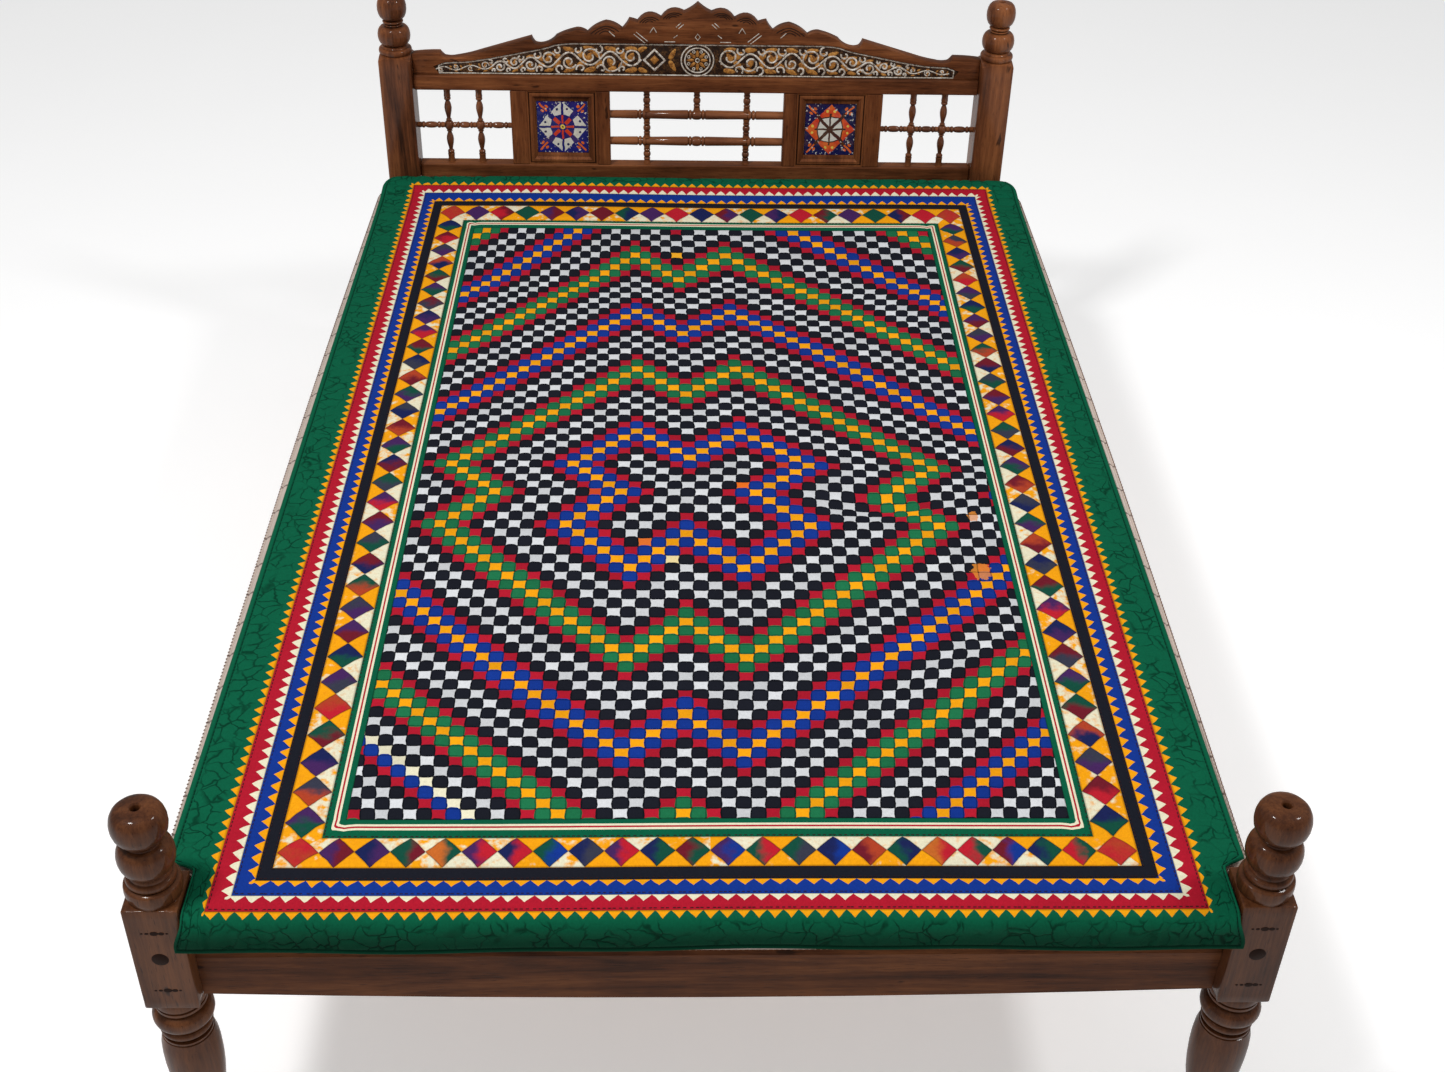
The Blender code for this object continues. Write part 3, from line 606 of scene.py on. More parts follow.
def build_tile_frame(node):
    """A moulded frame: a board whose front is inset step by step, and whose middle is open for the tile."""
    low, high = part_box(node)
    centre = (low + high) / 2
    half_room = Vector((TILE_SIZE[0] / 2 + TILE_ROOM, 0.0, TILE_SIZE[1] / 2 + TILE_ROOM))
    bm = bmesh.new()
    made = bmesh.ops.create_cube(bm, size=1.0)["verts"]
    bmesh.ops.scale(bm, vec=high - low, verts=made)
    bmesh.ops.translate(bm, vec=centre, verts=made)
    bmesh.ops.recalc_face_normals(bm, faces=bm.faces)
    front = min(bm.faces, key=lambda face: face.calc_center_median().y)
    back = max(bm.faces, key=lambda face: face.calc_center_median().y)
    for _, inwards, rise in FRAME_STEPS:
        bmesh.ops.inset_region(bm, faces=[front], thickness=inwards, depth=rise, use_even_offset=True)
    bmesh.ops.inset_region(bm, faces=[back], thickness=BACK_INSET, depth=0.0, use_even_offset=True)
    for vert in list(front.verts) + list(back.verts):
        vert.co.x = centre.x + math.copysign(half_room.x, vert.co.x - centre.x)
        vert.co.z = centre.z + math.copysign(half_room.z, vert.co.z - centre.z)
    opening = list(front.edges) + list(back.edges)
    bmesh.ops.delete(bm, geom=[front, back], context="FACES_ONLY")
    bmesh.ops.bridge_loops(bm, edges=opening)
    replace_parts(new_piece("moulded_" + node, bm, [wood_moulded], crisp=25.0), node)


for side in ("left", "right"):
    build_tile_frame("tile_frame_" + side)


# Tiles.
# Glazed earthenware painted by hand with a common star-flower. The left one has white petals in pairs and a
# red star on blue, and the right one orange petals round a white star on navy, with orange sprigs in the
# corners. Their backs are bare clay.

GLAZE_BLUE = dye(24, 36, 130)
GLAZE_NAVY = dye(10, 26, 84)
GLAZE_MIDNIGHT = dye(6, 16, 56)
GLAZE_WHITE = dye(214, 216, 206)
GLAZE_RED = dye(206, 62, 36)
GLAZE_ORANGE = dye(222, 104, 34)
GLAZE_YELLOW = dye(230, 196, 84)
GLAZE_BROWN = dye(70, 38, 26)
TILE_CLAY = dye(150, 92, 66)
CLAY_SHARE = 0.2
GLAZE_RELIEF = 0.0004
HAND_WOBBLE = 0.10


def tile_coordinates(place, node):
    """A tile's own coordinates, -1 to 1 from side to side: plain ones, and ones folded into one eighth."""
    low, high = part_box(node)
    centre = (low + high) / 2
    half = (high - low) / 2
    x = (place.part(0) - centre.x) / half.x
    z = (place.part(2) - centre.z) / half.z
    x = x + (place.grain(60.0, 2.0) - 0.5) * HAND_WOBBLE
    z = z + (place.grain(47.0, 2.0) - 0.5) * HAND_WOBBLE
    far = abs(x).most(abs(z))
    near = abs(x).least(abs(z))
    return x, z, far, near


def corner_sprigs(far, near, place):
    """A stroke along each diagonal with two leaves, and a few dots."""
    along = (far + near) / 2
    off = abs(far - near)
    stroke = (off < 0.05) * (along > 0.60) * (along < 0.90)
    leaf = ((along - 0.70) * (along - 0.70) + (off - 0.17) * (off - 0.17) * 0.5) < 0.0026
    dots = place.grain(210.0, 1.0).step(0.66, 0.69) * (along > 0.45)
    return stroke.most(leaf), dots


def glaze(name):
    """A clear, glossy glaze over painted earthenware."""
    return new_finish(name, {"Coat Weight": 0.6, "Coat Roughness": 0.05, "IOR": 1.5})


def finish_tile(material, place, colour, lines):
    """Mottle the glaze, let the painted lines stand a little, and leave the tile's back bare clay."""
    mottle = place.grain(130.0, 4.0)
    low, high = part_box("tile_left")
    back = place.part(1) > high.y - (high.y - low.y) * CLAY_SHARE
    colour = back.between(colour, TILE_CLAY)
    lay_on(material, colour.shaded(mottle * 0.5 + 0.75), back.between(mottle * 0.15 + 0.10, 0.85),
           lines * 0.5 + place.grain(30.0, 2.0), GLAZE_RELIEF)


def white_flower_tile():
    """Eight white petals in pairs with blue eyes, round a red star with a yellow heart."""
    material, place = glaze("tile_left_glaze")
    x, z, far, near = tile_coordinates(place, "tile_left")
    petal = ((near > 0.045) * (far + near * 0.88 < 0.98) * (near < far * 0.82 - 0.05)
             * (far + near * 0.3 > 0.50))
    eye = ((far - 0.68) * (far - 0.68) + (near - 0.20) * (near - 0.20)) < 0.0022
    ray = (near < 0.040) * (far < 0.46) * (far > 0.13)
    diagonal = (far - near < 0.10) * (far + near > 0.24) * (far + near < 0.66)
    reach = x * x + z * z
    sprig, dots = corner_sprigs(far, near, place)
    colour = place.grain(40.0, 3.0).between(GLAZE_BLUE, GLAZE_NAVY)
    colour = petal.between(colour, GLAZE_WHITE)
    colour = (eye * petal).between(colour, GLAZE_NAVY)
    colour = ray.most(diagonal).between(colour, GLAZE_RED)
    colour = (reach < 0.009).between(colour, GLAZE_YELLOW)
    colour = (reach < 0.0012).between(colour, GLAZE_BROWN)
    colour = sprig.between(colour, GLAZE_ORANGE)
    colour = dots.between(colour, GLAZE_WHITE)
    finish_tile(material, place, colour, petal.most(sprig))
    return material


def orange_flower_tile():
    """Eight orange petals with yellow eyes, round a white star with brown ribs."""
    material, place = glaze("tile_right_glaze")
    x, z, far, near = tile_coordinates(place, "tile_right")
    kite = (far + near * 0.98 < 0.97) * (near < far * 0.93)
    petal = kite * (far + near * 0.25 > 0.50)
    star = (far + near * 0.2 < 0.50) * (near < far * 0.80)
    rib = (near < 0.035).most(far - near < 0.09) * (far < 0.62)
    edge = (abs(far + near * 0.2 - 0.50) < 0.022) * kite
    eye = ((far - 0.70) * (far - 0.70) + (near - 0.14) * (near - 0.14)) < 0.0030
    sprig, dots = corner_sprigs(far, near, place)
    petal_tone = place.grain(55.0, 3.0).step(0.35, 0.65).between(GLAZE_RED, GLAZE_ORANGE)
    colour = place.grain(40.0, 3.0).between(GLAZE_NAVY, GLAZE_MIDNIGHT)
    colour = petal.between(colour, petal_tone)
    colour = (eye * petal).between(colour, GLAZE_YELLOW)
    colour = star.between(colour, GLAZE_WHITE)
    colour = rib.most(edge).between(colour, GLAZE_BROWN)
    colour = (x * x + z * z < 0.008).between(colour, GLAZE_BROWN)
    colour = sprig.between(colour, GLAZE_ORANGE)
    colour = dots.between(colour, GLAZE_WHITE)
    finish_tile(material, place, colour, petal.most(star))
    return material


for side, tile_glaze in (("left", white_flower_tile()), ("right", orange_flower_tile())):
    finish_node("tile_" + side, tile_glaze)


# Crest board.
# A board with a scalloped top, sawn to shape and set up on the upper rail. Under its middle lobes thin dark
# cords paint the shadow of plain carved arcs, and there are small limed gouges.

CREST_ROWS = (
    (0.0000, 0.3620, 0.0000), (0.0270, 0.3436, -0.0015), (0.0730, 0.3318, 0.0105), (0.1200, 0.3237, 0.0118),
    (0.1360, 0.3280, 0.0005), (0.1500, 0.3080, -0.0010), (0.1820, 0.3222, 0.0030), (0.2190, 0.3003, 0.0030),
    (0.2400, 0.3070, 0.0020), (0.2810, 0.2920, 0.0015), (0.3080, 0.2757, -0.0030), (0.3225, 0.2770, -0.0010),
    (0.3300, 0.2900, -0.0010), (0.4340, 0.2590, 0.0000), (0.4810, 0.2476, -0.0010), (0.5050, 0.2476, -0.0015),
    (0.5140, 0.2575, -0.0005), (0.5692, 0.2540, 0.0010),
)
CREST_ARC_STEPS = 6
CREST_FRONT = 0.991
CREST_THICK = 0.024
BOARD_ARRIS = 0.0016
board_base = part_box("headboard_rail_upper")[1].z + 0.0003
LOBES = ((1, 2), (2, 3), (5, 7))
LOBE_SHARES = (0.80, 0.56, 0.32)
CUT_SHADOW_LINE = 0.0010
LOBE_DROP = 0.004
LOBE_SQUASH = 0.95
GOUGE = 0.0009
EYE_HEIGHT = 0.296
EYE_REACH = (0.0050, 0.0065)
GOUGES = (
    (0.028, 0.322, 0.038, 0.313), (0.033, 0.325, 0.043, 0.316), (0.082, 0.305, 0.088, 0.315),
    (0.088, 0.315, 0.095, 0.304), (0.100, 0.287, 0.122, 0.305), (0.105, 0.283, 0.127, 0.301),
    (0.040, 0.300, 0.048, 0.294), (0.045, 0.286, 0.066, 0.286), (0.165, 0.296, 0.176, 0.306),
)


def swelling_line(rows, steps):
    """Points along a line whose stretches swell. A row is x, height and the swell of the stretch to it."""
    line = [rows[0][:2]]
    for (x0, z0, _), (x1, z1, swell) in zip(rows, rows[1:]):
        length = math.hypot(x1 - x0, z1 - z0)
        for k in range(1, steps + 1):
            t = k / steps
            out = 4.0 * swell * t * (1.0 - t) / length
            line.append((x0 + (x1 - x0) * t - (z1 - z0) * out, z0 + (z1 - z0) * t + (x1 - x0) * out))
    return line


def mirrored_line(half_line):
    """A line from its left end over the middle to its right end. The half line runs from the middle out."""
    return [(-x, z) for x, z in reversed(half_line) if x > 0.0] + list(half_line)


def board_from(ring, front, thick):
    """A board sawn to an outline of (x, z) points, its arrises eased."""
    bm = bmesh.new()
    face = bm.faces.new([bm.verts.new((x, front, z)) for x, z in ring])
    grown = bmesh.ops.extrude_face_region(bm, geom=[face])["geom"]
    back = [item for item in grown if isinstance(item, bmesh.types.BMVert)]
    bmesh.ops.translate(bm, vec=(0.0, thick, 0.0), verts=back)
    bmesh.ops.recalc_face_normals(bm, faces=bm.faces)
    rims = [edge for edge in bm.edges if abs(edge.verts[0].co.y - edge.verts[1].co.y) < 1e-6]
    bmesh.ops.bevel(bm, geom=rims, offset=BOARD_ARRIS, segments=2, profile=0.5, affect="EDGES", material=-1)
    return bm


def lay_cords(bm, lines, radius, closed=False, sides=1):
    """Add round cords to a bmesh, one along each line of points. Sides is the curve's bevel resolution."""
    curve = bpy.data.curves.new("cords", "CURVE")
    curve.dimensions = "3D"
    curve.bevel_depth = radius
    curve.bevel_resolution = sides
    curve.use_fill_caps = not closed
    for points in lines:
        line = curve.splines.new("POLY")
        line.points.add(len(points) - 1)
        for point, place in zip(line.points, points):
            point.co = (*place, 1.0)
        line.use_cyclic_u = closed
    holder = bpy.data.objects.new("cords", curve)
    bpy.context.scene.collection.objects.link(holder)
    graph = bpy.context.evaluated_depsgraph_get()
    bm.from_mesh(bpy.data.meshes.new_from_object(holder.evaluated_get(graph)))
    bpy.data.objects.remove(holder)


def carved_finish(name, deep, middle, high, constants):
    """Carved and rubbed wood in three tones. Its darkest set is painted shadow for the cuts, and its pale
    sets are worn on the heights.
    """
    material, place = new_finish(name, constants)
    tone = place.grain(120.0, 4.0, 0.7) * 0.6 + place.grain(420.0, 3.0) * 0.4
    fine = place.grain(800.0, 2.0)
    colour = tone.chart([(0.36, deep), (0.50, middle), (0.64, high)])
    lay_on(material, colour, fine * 0.25 + 0.42, tone + fine * 0.4, 0.0005)
    return material


limed_wood = carved_finish("limed_wood", dye(88, 68, 52), dye(196, 186, 172), dye(238, 236, 230),
                           {"Specular IOR Level": 0.25})
# Painted shadow: the near-black cords laid along the crest's cut lines.
cut_shadow_wood = carved_finish("cut_shadow_wood", dye(18, 9, 5), dye(34, 18, 11), dye(62, 36, 22),
                         {"Specular IOR Level": 0.15})
ochre_wood = carved_finish("ochre_wood", dye(86, 48, 20), dye(164, 108, 44), dye(204, 150, 74),
                           {"Specular IOR Level": 0.3})
ground_wood = carved_finish("frieze_ground_wood", dye(20, 12, 8), dye(44, 27, 17), dye(104, 70, 36),
                            {"Specular IOR Level": 0.15})


def mirrored(lines):
    """Lines and their mirror images on the left."""
    return lines + [[(-x, y, z) for x, y, z in line] for line in lines]


FRIEZE_ROWS = (
    (0.0000, 0.2806), (0.2500, 0.2806), (0.2810, 0.2780), (0.3030, 0.2700), (0.3700, 0.2565),
    (0.4180, 0.2470), (0.4620, 0.2400), (0.5030, 0.2385), (0.5280, 0.2289),
)
FRIEZE_LEAN = 0.012
CREST_CLEAR = 0.0006


def read_off(table, value):
    """A number read off a short table of (place, number), straight between its rows."""
    return float(np.interp(value, [row[0] for row in table], [row[1] for row in table]))


def frieze_top(x):
    """The height of the frieze's upper edge at a place along it."""
    return quilt_top + read_off(FRIEZE_ROWS, abs(x))


def frieze_outline():
    """The frieze's outline, from its left foot over the top to its right foot. The crest is cut for it."""
    top = mirrored_line([(x, quilt_top + height) for x, height in FRIEZE_ROWS])
    foot_x = top[-1][0] - FRIEZE_LEAN
    return [(-foot_x, board_base)] + top + [(foot_x, board_base)]


def build_crest():
    """The scalloped board, dark cords that paint the shadow of the arcs cut under its lobes, and its limed
    gouges.
    """
    rows = [(x, quilt_top + height, swell) for x, height, swell in CREST_ROWS]
    top = mirrored_line(swelling_line(rows, CREST_ARC_STEPS))
    hollow = [(x + math.copysign(CREST_CLEAR, x), z + CREST_CLEAR) for x, z in frieze_outline()[1:-1]]
    foot_x = frieze_outline()[-1][0] + CREST_CLEAR
    ring = [(top[0][0], board_base)] + top + [(top[-1][0], board_base), (foot_x, board_base)]
    ring += hollow[::-1] + [(-foot_x, board_base)]
    board = board_from(ring, CREST_FRONT, CREST_THICK)
    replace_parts(new_piece("crest_board", board, [wood_across], crisp=30.0), "crest")
    cuts = []
    for first, last in LOBES:
        lobe = swelling_line(rows[first:last + 1], CREST_ARC_STEPS)
        middle_x = (lobe[0][0] + lobe[-1][0]) / 2
        middle_z = (lobe[0][1] + lobe[-1][1]) / 2 - LOBE_DROP
        for share in LOBE_SHARES:
            cuts.append([(middle_x + (x - middle_x) * share, CREST_FRONT,
                          middle_z + (z - middle_z) * share * LOBE_SQUASH) for x, z in lobe])
    # Painted shadow: the cut arcs are thin dark cords on the board's face.
    cut = bmesh.new()
    lay_cords(cut, mirrored(cuts), CUT_SHADOW_LINE)
    new_piece("crest_cut_shadows", cut, [cut_shadow_wood], crisp=80.0)
    dashes = [[(x0, CREST_FRONT, quilt_top + z0), (x1, CREST_FRONT, quilt_top + z1)]
              for x0, z0, x1, z1 in GOUGES]
    across, up = EYE_REACH
    eye = [(across, 0.0), (0.0, up), (-across, 0.0), (0.0, -up)]
    gouge = bmesh.new()
    lay_cords(gouge, mirrored(dashes), GOUGE)
    lay_cords(gouge, [[(x, CREST_FRONT, quilt_top + EYE_HEIGHT + z) for x, z in eye]], GOUGE, closed=True)
    new_piece("crest_gouges", gouge, [limed_wood], crisp=80.0)


build_crest()


# Frieze.
# A long carved panel in front of the crest, with a round medallion. Limed scrolls curl along it over a dark
# ground, with ochre leaves between, and a limed roll runs round its edge.

FRIEZE_FRONT = 0.9950
FRIEZE_THICK = 0.016
FRIEZE_EDGE_ROLL = 0.0015
FRIEZE_INSET = 0.0042
FRIEZE_END = 0.518
SCROLL_RIBBON = 0.0021
SCROLL_STARTS = {1: 0.044, -1: 0.112}
SCROLL_END = 0.500
KNOT_STEP = 0.62
KNOT_GAP = 0.005
SLIM_GAP = 0.6
SCROLL_WAVE = 0.24
VOLUTE_SPAN = 0.46
VOLUTE_ROOM = 0.30
VOLUTE_CLOSE = 0.72
VOLUTE_LEAN = 1.6
SCROLL_TURNS = 1.15
CURL_TURNS = 0.80
CURL_SIZE = 0.135
CURL_LIFT = 0.33
CURL_OFF = 0.003
HOLLOW_LIFT = 0.10
EYE_LEAF = (0.34, 0.26)
CORNER_LEAF = (0.38, 0.27)
EDGE_LEAF = (0.44, 0.24)
LEAF_STAND = 0.0017
LEAF_TAPER = 0.45
STRAY_CUT = 0.60
SLIM_ROOM = 0.040
CURL_ROOM = 0.024
SLIM_RIBBON = 0.0013
MEDALLION = 0.0325
MEDALLION_RING = 0.0015
MEDALLION_PETALS = 8
PETAL_AT = 0.0135
PETAL_SIZE = (0.015, 0.0085)
BEAD_AT = 0.019
BEAD = 0.0026
BEAD_RING = 0.0009
MEDALLION_HEART = 0.0038
LOZENGE_AT = -0.086
LOZENGE_REACH = 0.021
LOZENGE_RIB = 0.0030
LOZENGE_LEAVES = (
    (-0.050, 0.012, 0.026, 0.5), (-0.050, -0.012, 0.026, 2.6),
    (-0.110, 0.022, 0.020, 1.2), (-0.110, -0.022, 0.020, 1.9),
)
LOZENGE_LEAF_WIDTH = 0.013


def frieze_room(x):
    """The middle height and the free height of the frieze at a place along it."""
    low = board_base + FRIEZE_INSET
    high = frieze_top(x) - FRIEZE_INSET
    return (low + high) / 2, high - low


def scroll_knots(side):
    """Where the waving stem crosses the middle of the frieze, closer together as the panel narrows."""
    knots = [SCROLL_STARTS[side]]
    while knots[-1] < SCROLL_END:
        room = frieze_room(knots[-1])[1]
        knots.append(knots[-1] + KNOT_STEP * room + KNOT_GAP + SLIM_GAP * max(SLIM_ROOM - room, 0.0))
    return knots


def wave_stretch(side, start, stop, way):
    """One half wave of the stem."""
    line = []
    wave = SCROLL_WAVE * (1.0 + STRAY_CUT * cut_by_hand(side * start, 3.0))
    for k in range(9):
        x = start + (stop - start) * k / 8
        middle, room = frieze_room(x)
        line.append((side * x, FRIEZE_FRONT, middle + way * wave * room * math.sin(math.pi * k / 8)))
    return line


def volute(side, start, stop, way):
    """A spiral that curls off the stem into the hollow of its wave."""
    centre = (start + stop) / 2
    middle, room = frieze_room(centre)
    outer = min((stop - start) * VOLUTE_SPAN, room * VOLUTE_ROOM)
    outer *= 1.0 + STRAY_CUT * cut_by_hand(side * centre, 1.0)
    line = []
    for k in range(21):
        t = k / 20
        radius = outer * (1.0 - VOLUTE_CLOSE * t ** 0.8)
        angle = math.pi + VOLUTE_LEAN * cut_by_hand(side * centre, 2.0) - way * math.tau * SCROLL_TURNS * t
        x = centre + radius * math.cos(angle)
        z = middle - way * room * HOLLOW_LIFT - radius * math.sin(angle)
        line.append((side * x, FRIEZE_FRONT, z))
    return line


def cut_by_hand(x, which):
    """A small share, above or below 0, by which one cut differs from the next."""
    return noise.noise(Vector((x * 61.0, which * 7.3, 2.1)))


def curl(side, x, lift, phase):
    """A short hook of ribbon that fills a corner between the stem and the edge."""
    middle, room = frieze_room(x)
    lean = phase + 2.4 * cut_by_hand(side * x, lift * 9.0)
    outer = room * CURL_SIZE * (1.0 + STRAY_CUT * cut_by_hand(side * x, lift * 5.0))
    line = []
    for k in range(11):
        t = k / 10
        radius = outer * (1.15 - 0.75 * t)
        angle = lean + math.tau * CURL_TURNS * t
        z = middle + lift * room + radius * math.sin(angle)
        line.append((side * (x + radius * math.cos(angle)), FRIEZE_FRONT, z))
    return line


def add_leaf(bm, x, z, length, width, angle):
    """A raised teardrop of carved leaf, pointing along its angle."""
    made = bmesh.ops.create_uvsphere(bm, u_segments=8, v_segments=6, radius=1.0)["verts"]
    for vert in made:
        along = vert.co.z
        taper = 1.0 - LEAF_TAPER * (along + 1.0) * 0.5
        vert.co = (vert.co.x * width / 2 * taper, vert.co.y * LEAF_STAND * taper, along * length / 2)
    bmesh.ops.rotate(bm, cent=(0.0, 0.0, 0.0), matrix=Matrix.Rotation(angle, 3, "Y"), verts=made)
    bmesh.ops.translate(bm, vec=(x, FRIEZE_FRONT, z), verts=made)


def leaves_of(bm, side, start, stop, way):
    """An ochre leaf in the eye of each volute, and one leaning in each corner that the wave leaves."""
    centre = (start + stop) / 2
    middle, room = frieze_room(centre)
    add_leaf(bm, side * centre, middle - way * room * HOLLOW_LIFT, room * EYE_LEAF[0], room * EYE_LEAF[1],
             side * way * 0.6)
    middle, room = frieze_room(stop)
    for lift, lean in ((0.17, 0.75), (-0.17, 2.35)):
        turned = lean + cut_by_hand(side * stop, lift * 30.0)
        add_leaf(bm, side * (stop + 0.004 * way), middle + lift * room, room * CORNER_LEAF[0],
                 room * CORNER_LEAF[1], side * turned)
    for lift, lean in ((0.37, 1.35), (-0.37, 1.75)):
        turned = lean + cut_by_hand(side * centre, lift * 30.0)
        add_leaf(bm, side * centre, middle + lift * room, room * EDGE_LEAF[0], room * EDGE_LEAF[1],
                 side * turned)


def build_frieze():
    """The panel, its edge roll, the scrolls, the leaves and the medallion."""
    panel = board_from(frieze_outline(), FRIEZE_FRONT, FRIEZE_THICK)
    for face in panel.faces:
        face.material_index = 1 if face.calc_center_median().y > FRIEZE_FRONT + FRIEZE_THICK / 2 else 0
    finishes = [ground_wood, wood_across]
    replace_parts(new_piece("frieze_panel", panel, finishes, crisp=30.0), "frieze")
    ribbons = bmesh.new()
    ochre = bmesh.new()
    for side in (-1, 1):
        knots = scroll_knots(side)
        lines = []
        slim_lines = []
        for number, (start, stop) in enumerate(zip(knots, knots[1:])):
            way = 1 if number % 2 else -1
            stem = [wave_stretch(side, start, stop, way), volute(side, start, stop, way)]
            if frieze_room(stop)[1] > CURL_ROOM:
                lines += stem
                lines += [curl(side, stop + CURL_OFF, CURL_LIFT, 2.2),
                          curl(side, stop - CURL_OFF, -CURL_LIFT, -0.9)]
            else:
                slim_lines += stem
            leaves_of(ochre, side, start, stop, way)
        lay_cords(ribbons, lines, SCROLL_RIBBON)
        lay_cords(ribbons, slim_lines, SLIM_RIBBON)
    edge_x = [FRIEZE_END * k / 40 for k in range(-40, 41)]
    upper = [(x, FRIEZE_FRONT, frieze_top(x) - FRIEZE_EDGE_ROLL - 0.0004) for x in reversed(edge_x)]
    lower = [(x, FRIEZE_FRONT, board_base + FRIEZE_EDGE_ROLL + 0.0006) for x in edge_x]
    lay_cords(ribbons, [lower + upper], FRIEZE_EDGE_ROLL, closed=True)
    build_medallion(ribbons, ochre)
    build_lozenge(ribbons, ochre)
    new_piece("frieze_scrolls", ribbons, [limed_wood], crisp=80.0)
    new_piece("frieze_leaves", ochre, [ochre_wood], crisp=80.0)


def ring_line(x, z, radius, steps):
    """Points round a circle on the face of the frieze."""
    return [(x + radius * math.cos(math.tau * k / steps), FRIEZE_FRONT - 0.0006,
             z + radius * math.sin(math.tau * k / steps)) for k in range(steps)]


def build_medallion(ribbons, ochre):
    """The round medallion: two rings, a flower of eight petals, and a ring of small beads."""
    middle = frieze_room(0.0)[0]
    rings = [ring_line(0.0, middle, MEDALLION, 40), ring_line(0.0, middle, MEDALLION * 0.78, 36)]
    lay_cords(ribbons, rings, MEDALLION_RING, closed=True)
    beads = []
    for k in range(MEDALLION_PETALS):
        angle = math.tau * k / MEDALLION_PETALS
        add_leaf(ochre, PETAL_AT * math.sin(angle), middle + PETAL_AT * math.cos(angle), *PETAL_SIZE, angle)
        between = math.tau * (k + 0.5) / MEDALLION_PETALS
        beads.append(ring_line(BEAD_AT * math.cos(between), middle + BEAD_AT * math.sin(between), BEAD, 10))
    lay_cords(ribbons, beads + [ring_line(0.0, middle, MEDALLION_HEART, 12)], BEAD_RING, closed=True)


def build_lozenge(ribbons, ochre):
    """A limed lozenge with an ochre heart left of the medallion, and a pair of leaves on each side of it."""
    middle = frieze_room(0.0)[0]
    reaches = ((LOZENGE_REACH, 0.0), (0.0, LOZENGE_REACH), (-LOZENGE_REACH, 0.0), (0.0, -LOZENGE_REACH))
    frame_line = [(LOZENGE_AT + across, FRIEZE_FRONT, middle + up) for across, up in reaches]
    lay_cords(ribbons, [frame_line], LOZENGE_RIB, closed=True)
    heart = bmesh.ops.create_cone(ochre, cap_ends=True, segments=4, radius1=0.013, radius2=0.006,
                                  depth=0.005)["verts"]
    bmesh.ops.rotate(ochre, cent=(0.0, 0.0, 0.0), matrix=Matrix.Rotation(math.pi / 2, 3, "X"), verts=heart)
    bmesh.ops.translate(ochre, vec=(LOZENGE_AT, FRIEZE_FRONT, middle), verts=heart)
    for at, lift, length, angle in LOZENGE_LEAVES:
        add_leaf(ochre, at, middle + lift, length, LOZENGE_LEAF_WIDTH, angle)


build_frieze()


# Mattress.
# A firm slab in striped ticking, notched round the foot posts, with a corded seam round its top and bottom
# that is oversewn with slanting stitches.

MATTRESS_NOTCH_X = 0.6165
MATTRESS_HALF = 0.656
MATTRESS_BULGE = 0.006
MATTRESS_EDGE = 0.010
MATTRESS_CORNER = 0.016
NOTCH_CORNER = 0.026
NOTCH_CLEAR = 0.0065
HEAD_CORNER = 0.050
LIE_SHIFT = 0.003
LIE_TURN = 0.0075
TICKING = dye(226, 206, 192)
TICKING_STRIPE = dye(92, 58, 44)
STRIPE_PITCH = 0.068
STRIPE_WIDTH = 0.0042


def lie_offset(y):
    """The quilt and the mattress lie a little askew between the posts."""
    return LIE_SHIFT + LIE_TURN * y


def corner_arc(x, y, radius, start, end, steps=5):
    """Points on an arc about a centre, between two angles in quarter turns."""
    angles = [math.pi / 2 * (start + (end - start) * k / steps) for k in range(steps + 1)]
    return [(x + radius * math.cos(angle), y + radius * math.sin(angle)) for angle in angles]


def mattress_outline(inset, points=26):
    """The mattress seen from above, drawn in by an inset, from the foot round to the head and back."""
    low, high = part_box("mattress")
    notch_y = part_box("post_foot_left")[1].y + NOTCH_CLEAR + inset
    foot_x = MATTRESS_NOTCH_X - inset
    side = MATTRESS_HALF - inset
    right = corner_arc(foot_x - MATTRESS_CORNER, low.y + inset + MATTRESS_CORNER, MATTRESS_CORNER, -1.0, 0.0)
    right.append((foot_x, notch_y))
    right += corner_arc(side - NOTCH_CORNER, notch_y + NOTCH_CORNER, NOTCH_CORNER, -1.0, 0.0)
    head_radius = HEAD_CORNER - inset
    start_y = notch_y + NOTCH_CORNER
    end_y = high.y - inset - head_radius
    for k in range(1, points):
        share = k / points
        swell = MATTRESS_BULGE * math.sin(share * math.pi)
        right.append((side + swell, start_y + (end_y - start_y) * share))
    right += corner_arc(side - head_radius, end_y, head_radius, 0.0, 1.0)
    left = [(-x, y) for x, y in reversed(right)]
    return [(x + lie_offset(y), y) for x, y in right + left]


def ticking_finish():
    """Cream ticking with narrow brown stripes across the bed, twilled and a little soiled."""
    material, place = new_finish("mattress_ticking", {"Sheen Weight": 0.3, "Sheen Roughness": 0.5})
    y = place.part(1) + (place.grain(9.0, 2.0) - 0.5) * 0.006
    stripe = (y.saw(STRIPE_PITCH) * STRIPE_PITCH / 2) < STRIPE_WIDTH / 2
    soil = place.grain(14.0, 4.0)
    twill = (place.part(0) + place.part(1) + place.part(2)).saw(0.0011)
    colour = (stripe * 0.8).between(TICKING, TICKING_STRIPE)
    colour = colour.shaded(soil * 0.3 + 0.80 + twill * 0.06)
    lay_on(material, colour, soil * 0.1 + 0.85, twill + place.grain(300.0, 2.0), 0.0003)
    return material


FOOT_UNDERCUT = 0.040
UNDERCUT_DEPTH = 0.052
UNDERCUT_RINGS = 7


def drawn_in(y, z):
    """How the foot of the slab is rounded underneath: the most that a point may lie towards the foot."""
    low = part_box("mattress")[0]
    depth = min(max(low.z + FOOT_UNDERCUT - z, 0.0) / FOOT_UNDERCUT, 1.0)
    return max(y, low.y + UNDERCUT_DEPTH * (1.0 - math.sqrt(1.0 - depth * depth)))


